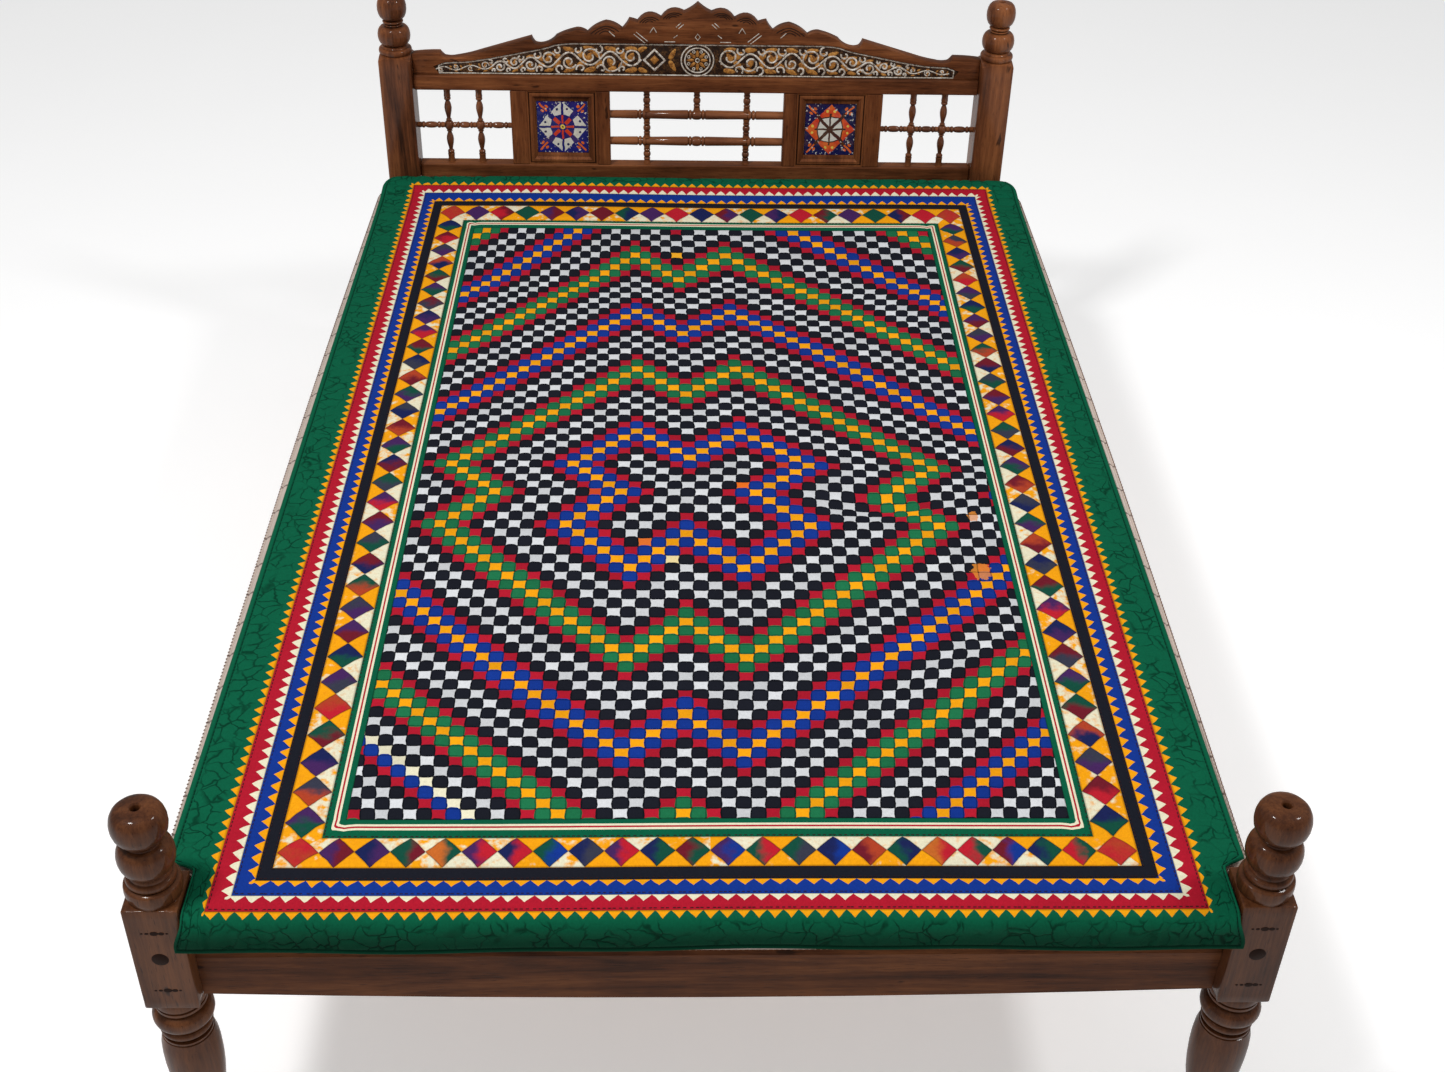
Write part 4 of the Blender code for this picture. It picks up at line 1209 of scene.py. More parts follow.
def build_mattress(ticking):
    """The slab: its outline raised, its edges rounded, and the foot drawn in below."""
    low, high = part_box("mattress")
    bm = bmesh.new()
    ring = [bm.verts.new((x, y, low.z)) for x, y in mattress_outline(0.0)]
    base = bm.faces.new(ring)
    grown = bmesh.ops.extrude_face_region(bm, geom=[base])["geom"]
    top = [item for item in grown if isinstance(item, bmesh.types.BMVert)]
    bmesh.ops.translate(bm, vec=(0.0, 0.0, high.z - low.z), verts=top)
    for k in range(1, UNDERCUT_RINGS + 1):
        height = low.z + MATTRESS_EDGE + (FOOT_UNDERCUT - MATTRESS_EDGE) * k / UNDERCUT_RINGS
        geometry = list(bm.verts) + list(bm.edges) + list(bm.faces)
        bmesh.ops.bisect_plane(bm, geom=geometry, plane_co=(0.0, 0.0, height), plane_no=(0.0, 0.0, 1.0))
    for vert in bm.verts:
        vert.co.y = drawn_in(vert.co.y, max(vert.co.z, low.z + 0.004))
    rims = [edge for edge in bm.edges
            if all(min(vert.co.z - low.z, high.z - vert.co.z) < 1e-5 for vert in edge.verts)
            and abs(edge.verts[0].co.z - edge.verts[1].co.z) < 1e-5]
    bmesh.ops.bevel(bm, geom=rims, offset=MATTRESS_EDGE, segments=4, profile=0.5, affect="EDGES",
                    material=-1)
    piece = new_piece("mattress_body", bm, [ticking])
    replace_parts(piece, "mattress")
    return piece


SEAM_INSET = 0.0075
SEAM_CORD = 0.0026
THREAD_BROWN = dye(84, 56, 44)
THREAD_WORN = dye(150, 116, 96)
WHIP_PITCH = 0.0072
WHIP_LENGTH = 0.0085
WHIP_LEAN = 0.0030
THREAD = 0.0007
THREAD_RELIEF = 0.0002


def seam_line(z):
    """Where the corded seam runs round the mattress at a height."""
    return [(x, drawn_in(y, z), z) for x, y in mattress_outline(-0.0008)]


def evenly_along(points, pitch):
    """The place and the direction at even steps along a closed line."""
    closed = [Vector(point) for point in points + points[:1]]
    lengths = [0.0]
    for start, stop in zip(closed, closed[1:]):
        lengths.append(lengths[-1] + (stop - start).length)
    count = round(lengths[-1] / pitch)
    steps = []
    for k in range(count):
        at = lengths[-1] * (k + 0.5) / count
        leg = max(n for n, length in enumerate(lengths[:-1]) if length <= at)
        way = (closed[leg + 1] - closed[leg]).normalized()
        steps.append((closed[leg] + way * (at - lengths[leg]), way))
    return steps


def whip(bm, z):
    """Slanting stitches over the corded seam, each a short bent thread that passes round the cord."""
    lines = []
    for place, way in evenly_along(seam_line(z), WHIP_PITCH):
        out = Vector((way.y, -way.x, 0.0))
        lean = way * WHIP_LEAN
        over = Vector((0.0, 0.0, WHIP_LENGTH / 2))
        proud = out * (SEAM_CORD + THREAD)
        lines.append([place - over - lean + out * THREAD, place + proud, place + over + lean + out * THREAD])
    lay_cords(bm, lines, THREAD, sides=0)


def thread_finish(name, scale, colour, worn):
    """Twisted cotton thread, paler where it is worn."""
    material, place = new_finish(name, {"Specular IOR Level": 0.1})
    tone = place.grain(scale, 2.0)
    lay_on(material, tone.between(colour, worn), tone * 0.1 + 0.8, tone, THREAD_RELIEF)
    return material


ticking = ticking_finish()
build_mattress(ticking)
thread = thread_finish("mattress_thread", 400.0, THREAD_BROWN, THREAD_WORN)
mattress_low, mattress_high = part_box("mattress")
for word, z in (("top", mattress_high.z - SEAM_INSET), ("bottom", mattress_low.z + SEAM_INSET)):
    cord = bmesh.new()
    lay_cords(cord, [seam_line(z)], SEAM_CORD, closed=True)
    new_piece("mattress_cord_" + word, cord, [ticking], crisp=80.0)
    stitches = bmesh.new()
    whip(stitches, z)
    new_piece("mattress_whipping_" + word, stitches, [thread], crisp=80.0)


# Quilt.
# One padded sheet of cotton patchwork, pieced and quilted by hand: a chequered field in stepped lozenges, a
# striped frame, a band of diamonds, three plain bands with saw teeth, and a green border with a rolled,
# stitched hem. It lies flat, folds down over the foot and is tucked down at the head.

QUILT_EDGE = 0.651
QUILT_THICK = 0.006
BORDER = 0.064
SIDE_SEAMS = (0.4468, 0.4712, 0.5209, 0.5380, 0.5611, 0.5871)
FOOT_SEAMS = (-0.8734, -0.9045, -0.9530, -0.9734, -0.9971, -1.0216)
HEAD_SEAMS = (0.7398, 0.7730, 0.8378, 0.8583, 0.8931, 0.9215)
HEM = 0.0085
FOOT_END = FOOT_SEAMS[-1] - BORDER
HEAD_END = HEAD_SEAMS[-1] + BORDER

FOOT_FACE = -1.0375
HEAD_FACE = 0.972
FOOT_FOLD = 0.020
HEAD_FOLD = 0.017
POST_CLEAR = 0.0025
FLAP_EDGE = 0.632
SQUEEZE_IN = (-0.9375, -0.9550)
SQUEEZE_OUT = (-1.034, -1.080)
foot_post_x = (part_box("post_foot_right")[0].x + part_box("post_foot_right")[1].x) / 2


def smooth_step(start, end, value):
    """0 at the start, 1 at the end, and smooth between."""
    share = min(max((value - start) / (end - start), 0.0), 1.0)
    return share * share * (3.0 - 2.0 * share)


def fold_down(v):
    """Where a point at v along the cloth lies: y, its drop from the flat top, the fold's turn and its way."""
    foot_start = FOOT_FACE + FOOT_FOLD
    head_start = HEAD_FACE - HEAD_FOLD
    if v < foot_start:
        past, radius, start, way = foot_start - v, FOOT_FOLD, foot_start, -1.0
    elif v > head_start:
        past, radius, start, way = v - head_start, HEAD_FOLD, head_start, 1.0
    else:
        return v, 0.0, 0.0, 0.0
    angle = min(past / radius, math.pi / 2)
    straight = max(past - radius * math.pi / 2, 0.0)
    return start + way * radius * math.sin(angle), radius * (1.0 - math.cos(angle)) + straight, angle, way


def edge_x(sign, v, y):
    """World x of the quilt's side edge, which is squeezed past the foot posts."""
    lying = sign * QUILT_EDGE + lie_offset(y)
    past_post = sign * (foot_post_x - FOOT_BLOCK / 2 - POST_CLEAR)
    x = lying + (past_post - lying) * smooth_step(SQUEEZE_IN[0], SQUEEZE_IN[1], v)
    x += (sign * FLAP_EDGE - past_post) * smooth_step(SQUEEZE_OUT[0], SQUEEZE_OUT[1], v)
    corner_start = HEAD_FACE - HEAD_CORNER
    if y > corner_start:
        reach = min((y - corner_start) / HEAD_CORNER, 1.0)
        x -= sign * HEAD_CORNER * (1.0 - math.sqrt(1.0 - reach * reach))
    return x


WAVE = 0.0010
EDGE_DIP = 0.0015
PUCKER = 0.004
PUCKER_AT = (0.631, -0.934)
PUCKER_REACH = 0.013
HEM_WAVE = 0.0025
DROP_WAVE = 0.0012
HEAD_LIFT = 0.0075
HEAD_LIFT_FROM = (0.86, 0.95)


def cloth_place(u, v, rise):
    """World place of a point of the flat cloth, lifted off its middle surface by a rise."""
    y, drop, angle, way = fold_down(v)
    sign = 1.0 if u > 0 else -1.0
    red = SIDE_SEAMS[-1]
    x = u + lie_offset(y)
    if abs(u) > red:
        start = sign * red + lie_offset(y)
        x = start + (edge_x(sign, v, y) - start) * (abs(u) - red) / (QUILT_EDGE - red)
    flat = math.cos(angle)
    lift = WAVE * (1.0 + math.sin(8.0 * u + 0.9) * math.sin(5.0 * v + 0.4))
    lift -= EDGE_DIP * smooth_step(red, QUILT_EDGE, abs(u))
    gather = (abs(x) - PUCKER_AT[0]) ** 2 + (v - PUCKER_AT[1]) ** 2
    lift += PUCKER * math.exp(-gather / PUCKER_REACH ** 2)
    lift += HEAD_LIFT * smooth_step(*HEAD_LIFT_FROM, v)
    z = quilt_top - drop + lift * flat + rise * flat
    y += way * math.sin(angle) * rise
    if v < FOOT_FACE:
        z += HEM_WAVE * math.sin(7.0 * u + 1.0) * smooth_step(0.0, 0.05, drop)
        y += DROP_WAVE * (1.0 + math.sin(23.0 * u + 0.5)) * smooth_step(0.0, 0.04, drop)
    return x, y, z


# The field's patches, counted from its middle one: where the rows lie down the middle, and how the
# hand-pieced columns and rows stray.
ROW_PLACES = (
    (-43.5, 0.7398), (-43.0, 0.7280), (-35.0, 0.5293), (-25.0, 0.3269), (-15.0, 0.1219), (0.0, -0.1665),
    (7.0, -0.3199), (15.0, -0.4871), (25.0, -0.6835), (35.0, -0.8646), (35.5, -0.8734),
)
CENTRE_PLACES = (
    (-0.90, -0.033), (-0.60, -0.030), (-0.20, -0.029), (-0.08, -0.024), (0.00, -0.028), (0.215, -0.033),
    (0.43, -0.041), (0.60, -0.049), (0.72, -0.052),
)
COLUMN_ENDS = (-22.5, 27.5)
ROW_ENDS = (-43.5, 35.5)
CROWDING = 0.08

# How many columns lie between the middle and the field's edge, at a place along the cloth. The rest run on
# under the frame.
LEFT_COLUMNS = ((-0.8734, 22.5), (-0.72, 21.5), (0.7398, 21.5))
RIGHT_COLUMNS = (
    (-0.8734, 27.5), (-0.70, 26.0), (-0.56, 24.2), (-0.30, 24.0), (-0.10, 23.5), (0.38, 23.5), (0.50, 22.5),
    (0.7398, 22.5),
)
SPARE_COLUMN = 0.0016

# Where the hand-pieced rows stray along the cloth: (across, along, reach across, reach along, shift).
ROW_STRAYS = (
    (0.42, 0.03, 0.22, 0.20, -0.016), (0.27, -0.19, 0.09, 0.035, -0.020), (0.43, -0.58, 0.15, 0.10, 0.010),
    (-0.43, -0.72, 0.20, 0.10, 0.007), (-0.03, -0.66, 0.05, 0.02, 0.006), (0.10, 0.42, 0.10, 0.06, -0.004),
)


def column_u(i, v):
    """Across the cloth, where column line i lies at a place along it."""
    middle = read_off(CENTRE_PLACES, v)
    count = read_off(LEFT_COLUMNS if i < 0.0 else RIGHT_COLUMNS, v)
    width = SIDE_SEAMS[0] + (middle if i < 0.0 else -middle)
    share = min(abs(i) / count, 1.0)
    spare = max(abs(i) - count, 0.0) * SPARE_COLUMN
    return middle + math.copysign(width * share * (1.0 + CROWDING - CROWDING * share) + spare, i)


def past_spare(u, v):
    """A line of the frame's first band, moved out past the columns that run on under it."""
    start, stop = SIDE_SEAMS[:2]
    if not start < abs(u) < stop:
        return u
    last = abs(COLUMN_ENDS[0 if u < 0.0 else 1])
    first = start + (last - read_off(LEFT_COLUMNS if u < 0.0 else RIGHT_COLUMNS, v)) * SPARE_COLUMN
    return math.copysign(first + (stop - first) * (abs(u) - start) / (stop - start), u)


def row_v(j, u):
    """Along the cloth, where row line j lies at a place across it."""
    v = read_off(ROW_PLACES, j)
    held = min(v - FOOT_SEAMS[0], HEAD_SEAMS[0] - v, 0.05) / 0.05
    fade = 1.0 - smooth_step(SIDE_SEAMS[0], QUILT_EDGE, abs(u))
    shift = 0.0
    for at_u, at_v, reach_u, reach_v, by in ROW_STRAYS:
        shift += by * math.exp(-((u - at_u) / reach_u) ** 2 - ((v - at_v) / reach_v) ** 2)
    return v + shift * held * fade


CELL_LINES = (0.0, 0.24, 0.76)


def cell_lines(ends):
    """Three lines to each patch: its seam and the two shoulders of its swell."""
    first = [ends[0] + k + line for k in range(round(ends[1] - ends[0])) for line in CELL_LINES]
    return first + [ends[1]]


def band_lines(seams, end, counts):
    """The places of the lines over the bands, from the field's edge out to the rim."""
    way = 1.0 if end > seams[0] else -1.0
    stops = [*seams, end - way * HEM, end]
    lines = []
    for start, stop, count in zip(stops, stops[1:], counts):
        lines += [start + (stop - start) * k / count for k in range(1, count + 1)]
    return lines


SIDE_COUNTS = (5, 10, 4, 5, 5, 18, 4)
FOOT_COUNTS = (6, 10, 4, 5, 5, 18, 4)
HEAD_COUNTS = (6, 12, 4, 6, 6, 14, 4)
side_lines = band_lines(SIDE_SEAMS, QUILT_EDGE, SIDE_COUNTS)
foot_lines = band_lines(FOOT_SEAMS, FOOT_END, FOOT_COUNTS)
head_lines = band_lines(HEAD_SEAMS, HEAD_END, HEAD_COUNTS)
field_columns = cell_lines(COLUMN_ENDS)
field_rows = cell_lines(ROW_ENDS)


def band_of(u, v):
    """Which band a point lies in: below 0 in the field, then 1 more past each seam."""
    counts = [-20.0, *range(len(SIDE_SEAMS)), 5.0 + (BORDER - HEM) / BORDER, 6.0]
    side = np.interp(abs(u), [0.0, *SIDE_SEAMS, QUILT_EDGE - HEM, QUILT_EDGE], counts)
    foot = np.interp(-v, [0.0, *(-seam for seam in FOOT_SEAMS), -FOOT_END - HEM, -FOOT_END], counts)
    head = np.interp(v, [0.0, *HEAD_SEAMS, HEAD_END - HEM, HEAD_END], counts)
    return float(max(side, foot, head))


PATCH_PUFF = 0.0013
BAND_PUFF = 0.0011
SEAM_DEPTH = 0.0009
HALF_BAND = 0.010
RIM_ROLL = ((0.0, -0.0034), (0.0009, -0.0016), (0.0022, -0.0004), (0.0045, 0.0006), (0.0066, 0.0001),
            (0.0085, -0.0011), (0.0105, 0.0000))


def near_rim(u, v):
    """How far a point lies from the cloth's rim."""
    return min(QUILT_EDGE - abs(u), v - FOOT_END, HEAD_END - v)


def band_relief(u, v):
    """The swell of the plain bands between their seams, puckered by the stitches beside them, and the roll
    of the hem."""
    gaps = [abs(abs(u) - seam) for seam in SIDE_SEAMS] + [abs(v - seam) for seam in FOOT_SEAMS + HEAD_SEAMS]
    share = min(min(gaps) / HALF_BAND, 1.0)
    pucker = 0.35 * noise.noise(Vector((u * 55.0, v * 55.0, 3.0))) * (1.0 - share * 0.6)
    swell = BAND_PUFF * math.sin(share * math.pi / 2) * (1.0 + pucker) - SEAM_DEPTH * (1.0 - share)
    rim = near_rim(u, v)
    if rim < RIM_ROLL[-1][0]:
        blend = smooth_step(0.0085, 0.0105, rim)
        roll = read_off(RIM_ROLL, rim)
        return swell * blend + roll * (1.0 - blend) if rim > 0.0085 else roll
    return swell


def patch_relief(i, j):
    """The swell of one patch of the field, which differs from patch to patch."""
    column = math.floor(i - COLUMN_ENDS[0])
    row = math.floor(j - ROW_ENDS[0])
    within = min((i - COLUMN_ENDS[0]) % 1.0, 1.0 - (i - COLUMN_ENDS[0]) % 1.0,
                 (j - ROW_ENDS[0]) % 1.0, 1.0 - (j - ROW_ENDS[0]) % 1.0)
    vigour = 0.75 + 0.5 * noise.cell(Vector((column + 0.5, row + 0.5, 7.5)))
    return PATCH_PUFF * vigour * smooth_step(0.0, CELL_LINES[1], within) - SEAM_DEPTH * 0.6


def quilt_lines():
    """Every line of the mesh, as a kind and a value: a place on the flat cloth, or a line of the patches."""
    across = [("place", -u) for u in reversed(side_lines)] + [("patch", i) for i in field_columns]
    across += [("place", u) for u in side_lines]
    along = [("place", v) for v in reversed(foot_lines)] + [("patch", j) for j in reversed(field_rows)]
    along += [("place", v) for v in head_lines]
    return across, along


def flat_place(across, along):
    """The u, v, i and j of the crossing of two lines. Outside the field the count is the field edge's."""
    kind_u, value_u = across
    kind_v, value_v = along
    field_v = value_v if kind_v == "place" else row_v(value_v, 0.0)
    u = past_spare(value_u, field_v) if kind_u == "place" else column_u(value_u, field_v)
    v = value_v if kind_v == "place" else row_v(value_v, u)
    i = value_u if kind_u == "patch" else math.copysign(COLUMN_ENDS[1 if u > 0 else 0], u)
    j = value_v if kind_v == "patch" else (ROW_ENDS[1] if v < 0 else ROW_ENDS[0])
    return u, v, i, j


def cloth_grid(bm, columns, rows, place):
    """A grid whose points are put in place by a function of their column and row."""
    made = bmesh.ops.create_grid(bm, x_segments=columns - 1, y_segments=rows - 1, size=1.0)["verts"]
    for vert in made:
        column = round((vert.co.x + 1.0) / 2.0 * (columns - 1))
        row = round((vert.co.y + 1.0) / 2.0 * (rows - 1))
        place(vert, column, row)
    return made


PLAIN_ANGLE = 3.0
RIM_EASE = 0.0014


def build_quilt(finish):
    """The outer face on its pieced lines, a plain inner face, and the rolled rim that joins them."""
    across, along = quilt_lines()
    bm = bmesh.new()
    flat_layer = bm.verts.layers.float_vector.new("flat")
    cell_layer = bm.verts.layers.float_vector.new("cell")

    def outer(vert, column, row):
        u, v, i, j = flat_place(across[column], along[row])
        band = band_of(u, v)
        rise = patch_relief(i, j) if band < 0.0 else band_relief(u, v)
        vert[flat_layer] = (u, v, band)
        vert[cell_layer] = (i, j, 0.0)
        vert.co = cloth_place(u, v, rise)

    def inner(vert, column, row):
        u, v, i, j = flat_place(across[column], along[row])
        rim = near_rim(u, v)
        vert[flat_layer] = (u, v, 5.5)
        vert[cell_layer] = (i, j, 0.0)
        vert.co = cloth_place(u, v, -QUILT_THICK + RIM_EASE * (1.0 - smooth_step(0.0, 0.003, rim)))

    cloth_grid(bm, len(across), len(along), outer)
    rims = [edge for edge in bm.edges if edge.is_boundary]
    under = set(cloth_grid(bm, len(across), len(along), inner))
    under_edges = [edge for edge in bm.edges if edge.verts[0] in under]
    rims += [edge for edge in under_edges if edge.is_boundary]
    plain_edges = [edge for edge in under_edges if not edge.is_boundary]
    plain_points = [vert for vert in bm.verts if vert in under and not vert.is_boundary]
    bmesh.ops.reverse_faces(bm, faces=[face for face in bm.faces if face.verts[0] in under])
    bmesh.ops.bridge_loops(bm, edges=rims)
    bmesh.ops.dissolve_limit(bm, angle_limit=math.radians(PLAIN_ANGLE), use_dissolve_boundaries=False,
                             verts=plain_points, edges=plain_edges, delimit=set())
    bmesh.ops.triangulate(bm, faces=[face for face in bm.faces if len(face.verts) > 4])
    cloth = named_thing("quilt_sheet", bm, [finish])
    cloth.data.shade_smooth()
    return cloth


COTTON_GREEN = dye(10, 92, 64)
COTTON_RED = dye(176, 26, 46)
COTTON_BLUE = dye(20, 54, 142)
COTTON_BLACK = dye(27, 29, 38)
COTTON_YELLOW = dye(246, 164, 18)
COTTON_AMBER = dye(236, 148, 24)
COTTON_WHITE = dye(212, 214, 217)
COTTON_CREAM = dye(234, 228, 198)
CELL_GREEN = dye(30, 112, 72)
FIELD_ORDER = (
    COTTON_BLACK, COTTON_WHITE, COTTON_BLACK, COTTON_RED, COTTON_BLUE, COTTON_YELLOW, COTTON_BLUE, COTTON_RED,
    COTTON_BLACK, COTTON_WHITE, COTTON_BLACK, COTTON_WHITE, COTTON_BLACK, COTTON_RED, CELL_GREEN,
    COTTON_YELLOW, CELL_GREEN, COTTON_RED, COTTON_BLACK, COTTON_WHITE,
)
CENTRE_TURN = 4.0
FADED_LEVEL = 5.0
PATCH_REACH = (0.570, 0.610)
PATCH_ROUND = 4.0
STRAY = 0.07
CORNER_KNOT_AND_SHADE = (0.05, 0.17)

# Two corners by the foot were pieced from another strip, so the order jumps there: from this sum, by levels.
LEFT_JUMP = (48.5, 4.0)
RIGHT_JUMP = (60.5, -2.0)

# A few patches were cut from other cloth: (i, j, colour).
ODD_PATCHES = (
    (-1.0, 8.0, dye(222, 204, 150)), (-3.0, 6.0, dye(224, 112, 44)), (4.0, -1.0, dye(226, 108, 30)),
    (7.0, -4.0, dye(206, 62, 38)), (-7.0, 0.0, dye(206, 74, 38)), (0.0, -39.0, dye(240, 170, 40)),
)

# Old stains near the right edge: (across, along, reach across, reach along).
STAINS = ((0.405, -0.371, 0.017, 0.024), (0.410, -0.232, 0.010, 0.014))
STAIN = dye(226, 140, 52)


def nearest_patch(i, j, odd):
    """The middle of the nearest patch whose counts add up to an even number, or to an odd one."""
    i = i - odd
    lean = ((i + j) / 2.0).rounded()
    cross = ((i - j) / 2.0).rounded()
    return lean + cross + odd, lean - cross


def field_colour(cell, flat):
    """The chequered field. Its dark patches swell into the light ones beside them. Returns the colour, and
    how near a point lies to a seam."""
    stray = flat.grain(75.0, 2.0, output=1)
    i, j = [cell.part(axis) + (stray.node("ShaderNodeSeparateColor", {}, {0: stray}, axis) - 0.5) * STRAY * 2
            for axis in (0, 1)]
    dark_i, dark_j = nearest_patch(i, j, 0.0)
    light_i, light_j = nearest_patch(i, j, 1.0)
    across = abs(i - dark_i)
    along = abs(j - dark_j)
    narrowed = across * (1.0 + (dark_j - j).most(0.0) * 0.18)
    bulge = (narrowed / PATCH_REACH[0]) ** PATCH_ROUND + (along / PATCH_REACH[1]) ** PATCH_ROUND
    dark = bulge < 1.0
    patch_i = dark.between(light_i, dark_i)
    patch_j = dark.between(light_j, dark_j)
    side_i = abs(patch_i)
    side_j = abs(patch_j)
    level = side_i.most(side_j) + abs(side_i.least(side_j) - CENTRE_TURN) - CENTRE_TURN
    left = (patch_i < 0.0) * (patch_j > 0.0) * (side_i + side_j > LEFT_JUMP[0])
    right = (patch_i > 0.0) * (patch_j > 0.0) * (side_i + side_j > RIGHT_JUMP[0])
    level = level + left * LEFT_JUMP[1] + right * RIGHT_JUMP[1]
    period = len(FIELD_ORDER)
    order = [((k + 0.001) / period if k else 0.0, colour) for k, colour in enumerate(FIELD_ORDER)]
    colour = ((level % period + 0.5) / period).chart(order, "CONSTANT")
    faded = left * (abs(level % period - FADED_LEVEL) < 0.5)
    colour = faded.between(colour, COTTON_CREAM)
    for odd_i, odd_j, odd_colour in ODD_PATCHES:
        here = (abs(patch_i - odd_i) < 0.5) * (abs(patch_j - odd_j) < 0.5)
        colour = here.between(colour, odd_colour)
    own = dark.node("ShaderNodeTexWhiteNoise", {"noise_dimensions": "2D"},
                    {"Vector": dark.vector(patch_i, patch_j)})
    colour = colour.shaded(own * 0.26 + 0.86)
    patchy = flat.grain(120.0, 3.0)
    for at_u, at_v, reach_u, reach_v in STAINS:
        across_stain = (flat.part(0) - at_u) / reach_u
        along_stain = (flat.part(1) - at_v) / reach_v
        soaked = across_stain * across_stain + along_stain * along_stain + (patchy - 0.5) * 2.2 < 0.7
        colour = (soaked * 0.75).between(colour, STAIN)
    inside_i = 0.5 - abs(i - i.rounded())
    inside_j = 0.5 - abs(j - j.rounded())
    # Where four patches meet, a dark spot: partly a stitched knot, partly painted shade.
    knot = 1.0 - (inside_i + inside_j).step(*CORNER_KNOT_AND_SHADE)
    colour = (knot * 0.9).between(colour, COTTON_BLACK)
    # How near a seam a point lies; the quilt paints shade there and sinks it in the relief.
    seam = 1.0 - inside_i.least(inside_j).step(0.01, 0.075)
    return colour, seam


FRAME_STOPS = (
    (0.0, COTTON_GREEN), (0.30, COTTON_CREAM), (0.42, COTTON_RED), (0.50, COTTON_CREAM),
    (0.63, COTTON_GREEN),
)
BAND_STOPS = (
    (1.0, COTTON_YELLOW), (2.0, COTTON_BLACK), (3.0, COTTON_BLUE), (4.0, COTTON_RED), (5.0, COTTON_GREEN),
)
RIM_BAND = 6.0


def band_colours(band):
    """Every band's own colour, by the band that a point lies in."""
    stops = [(place / RIM_BAND, colour) for place, colour in (*FRAME_STOPS, *BAND_STOPS)]
    return (band / RIM_BAND).chart(stops, "CONSTANT")


TOOTH_ROWS = (
    (5, 0.0187, 0.0102, COTTON_YELLOW, 1.0),
    (4, 0.0198, 0.0118, COTTON_CREAM, 0.90),
    (3, 0.0204, 0.0112, COTTON_YELLOW, 1.0),
)
CORNER_TAIL = 0.0030


def sides_of(flat, seam):
    """How far a point lies outside a seam's rectangle, sideways and endways."""
    u = flat.part(0)
    v = flat.part(1)
    sideways = abs(u) - SIDE_SEAMS[seam]
    endways = (FOOT_SEAMS[seam] - v).most(v - HEAD_SEAMS[seam])
    return u, v, sideways, endways


def add_teeth(colour, flat, wander, row):
    """A row of saw teeth that stand on a seam and point outwards, with a tail at each corner."""
    seam, pitch, height, tooth_colour, roundness = row
    u, v, sideways, endways = sides_of(flat, seam)
    away = sideways.most(endways)
    along = (sideways > endways).between(u, v) + wander * pitch * 0.30
    tooth = (1.0 - along.saw(pitch)) ** roundness * height * (wander * 0.35 + 1.0)
    corner = sideways.least(endways) > 0.0
    tail = (abs(sideways - endways) < CORNER_TAIL) * (away < height * 0.55)
    shape = (away > 0.0) * corner.between(away < tooth, tail)
    return shape.between(colour, tooth_colour)


PURPLE = dye(70, 38, 92)
MAROON = dye(112, 28, 42)
BRICK = dye(176, 66, 40)
FOREST = dye(20, 78, 62)
NAVY = dye(28, 36, 84)
SLATE = dye(56, 58, 74)
BRIGHT_RED = dye(190, 32, 48)
RUST = dye(198, 104, 42)
FOOT_TONES = (
    (PURPLE, MAROON), (NAVY, PURPLE), (FOREST, MAROON), (RUST, FOREST), (PURPLE, BRIGHT_RED),
    (NAVY, BRIGHT_RED), (FOREST, COTTON_BLUE), (NAVY, SLATE), (PURPLE, BRIGHT_RED), (NAVY, FOREST),
    (MAROON, FOREST),
    (PURPLE, COTTON_BLUE), (FOREST, BRIGHT_RED), (FOREST, SLATE), (NAVY, COTTON_BLUE), (MAROON, BRICK),
    (FOREST, NAVY), (RUST, BRIGHT_RED), (BRIGHT_RED, FOREST), (MAROON, COTTON_BLUE), (NAVY, FOREST),
    (BRIGHT_RED, FOREST),
)
SIDE_TONES = (
    (FOREST, PURPLE), (BRICK, SLATE), (PURPLE, NAVY), (MAROON, FOREST), (BRIGHT_RED, BRICK), (SLATE, PURPLE),
    (FOREST, NAVY), (MAROON, PURPLE), (PURPLE, SLATE), (BRICK, FOREST), (NAVY, MAROON), (FOREST, SLATE),
    (PURPLE, MAROON), (BRIGHT_RED, PURPLE), (SLATE, FOREST), (MAROON, NAVY), (FOREST, PURPLE),
    (BRICK, MAROON), (NAVY, SLATE), (PURPLE, FOREST), (MAROON, BRICK), (SLATE, NAVY), (FOREST, MAROON),
    (BRIGHT_RED, PURPLE),
    (PURPLE, NAVY), (SLATE, MAROON), (FOREST, PURPLE), (MAROON, FOREST), (NAVY, BRICK), (PURPLE, SLATE),
    (BRIGHT_RED, MAROON), (FOREST, NAVY),
)
HEAD_TONES = (
    (PURPLE, PURPLE), (BRIGHT_RED, MAROON), (FOREST, FOREST), (PURPLE, MAROON), (NAVY, PURPLE),
    (MAROON, MAROON), (FOREST, NAVY), (PURPLE, PURPLE), (BRIGHT_RED, BRIGHT_RED), (NAVY, NAVY),
    (MAROON, PURPLE), (FOREST, FOREST), (PURPLE, NAVY), (BRIGHT_RED, BRIGHT_RED), (MAROON, FOREST),
    (PURPLE, PURPLE), (FOREST, FOREST),
    (NAVY, MAROON), (BRIGHT_RED, BRIGHT_RED),
)


def tone_chart(number, tones, which):
    """A colour for each diamond, counted along its side of the band."""
    count = len(tones)
    stops = [(k / count, pair[which]) for k, pair in enumerate(tones)]
    return ((number + 0.5) / count).chart(stops, "CONSTANT")


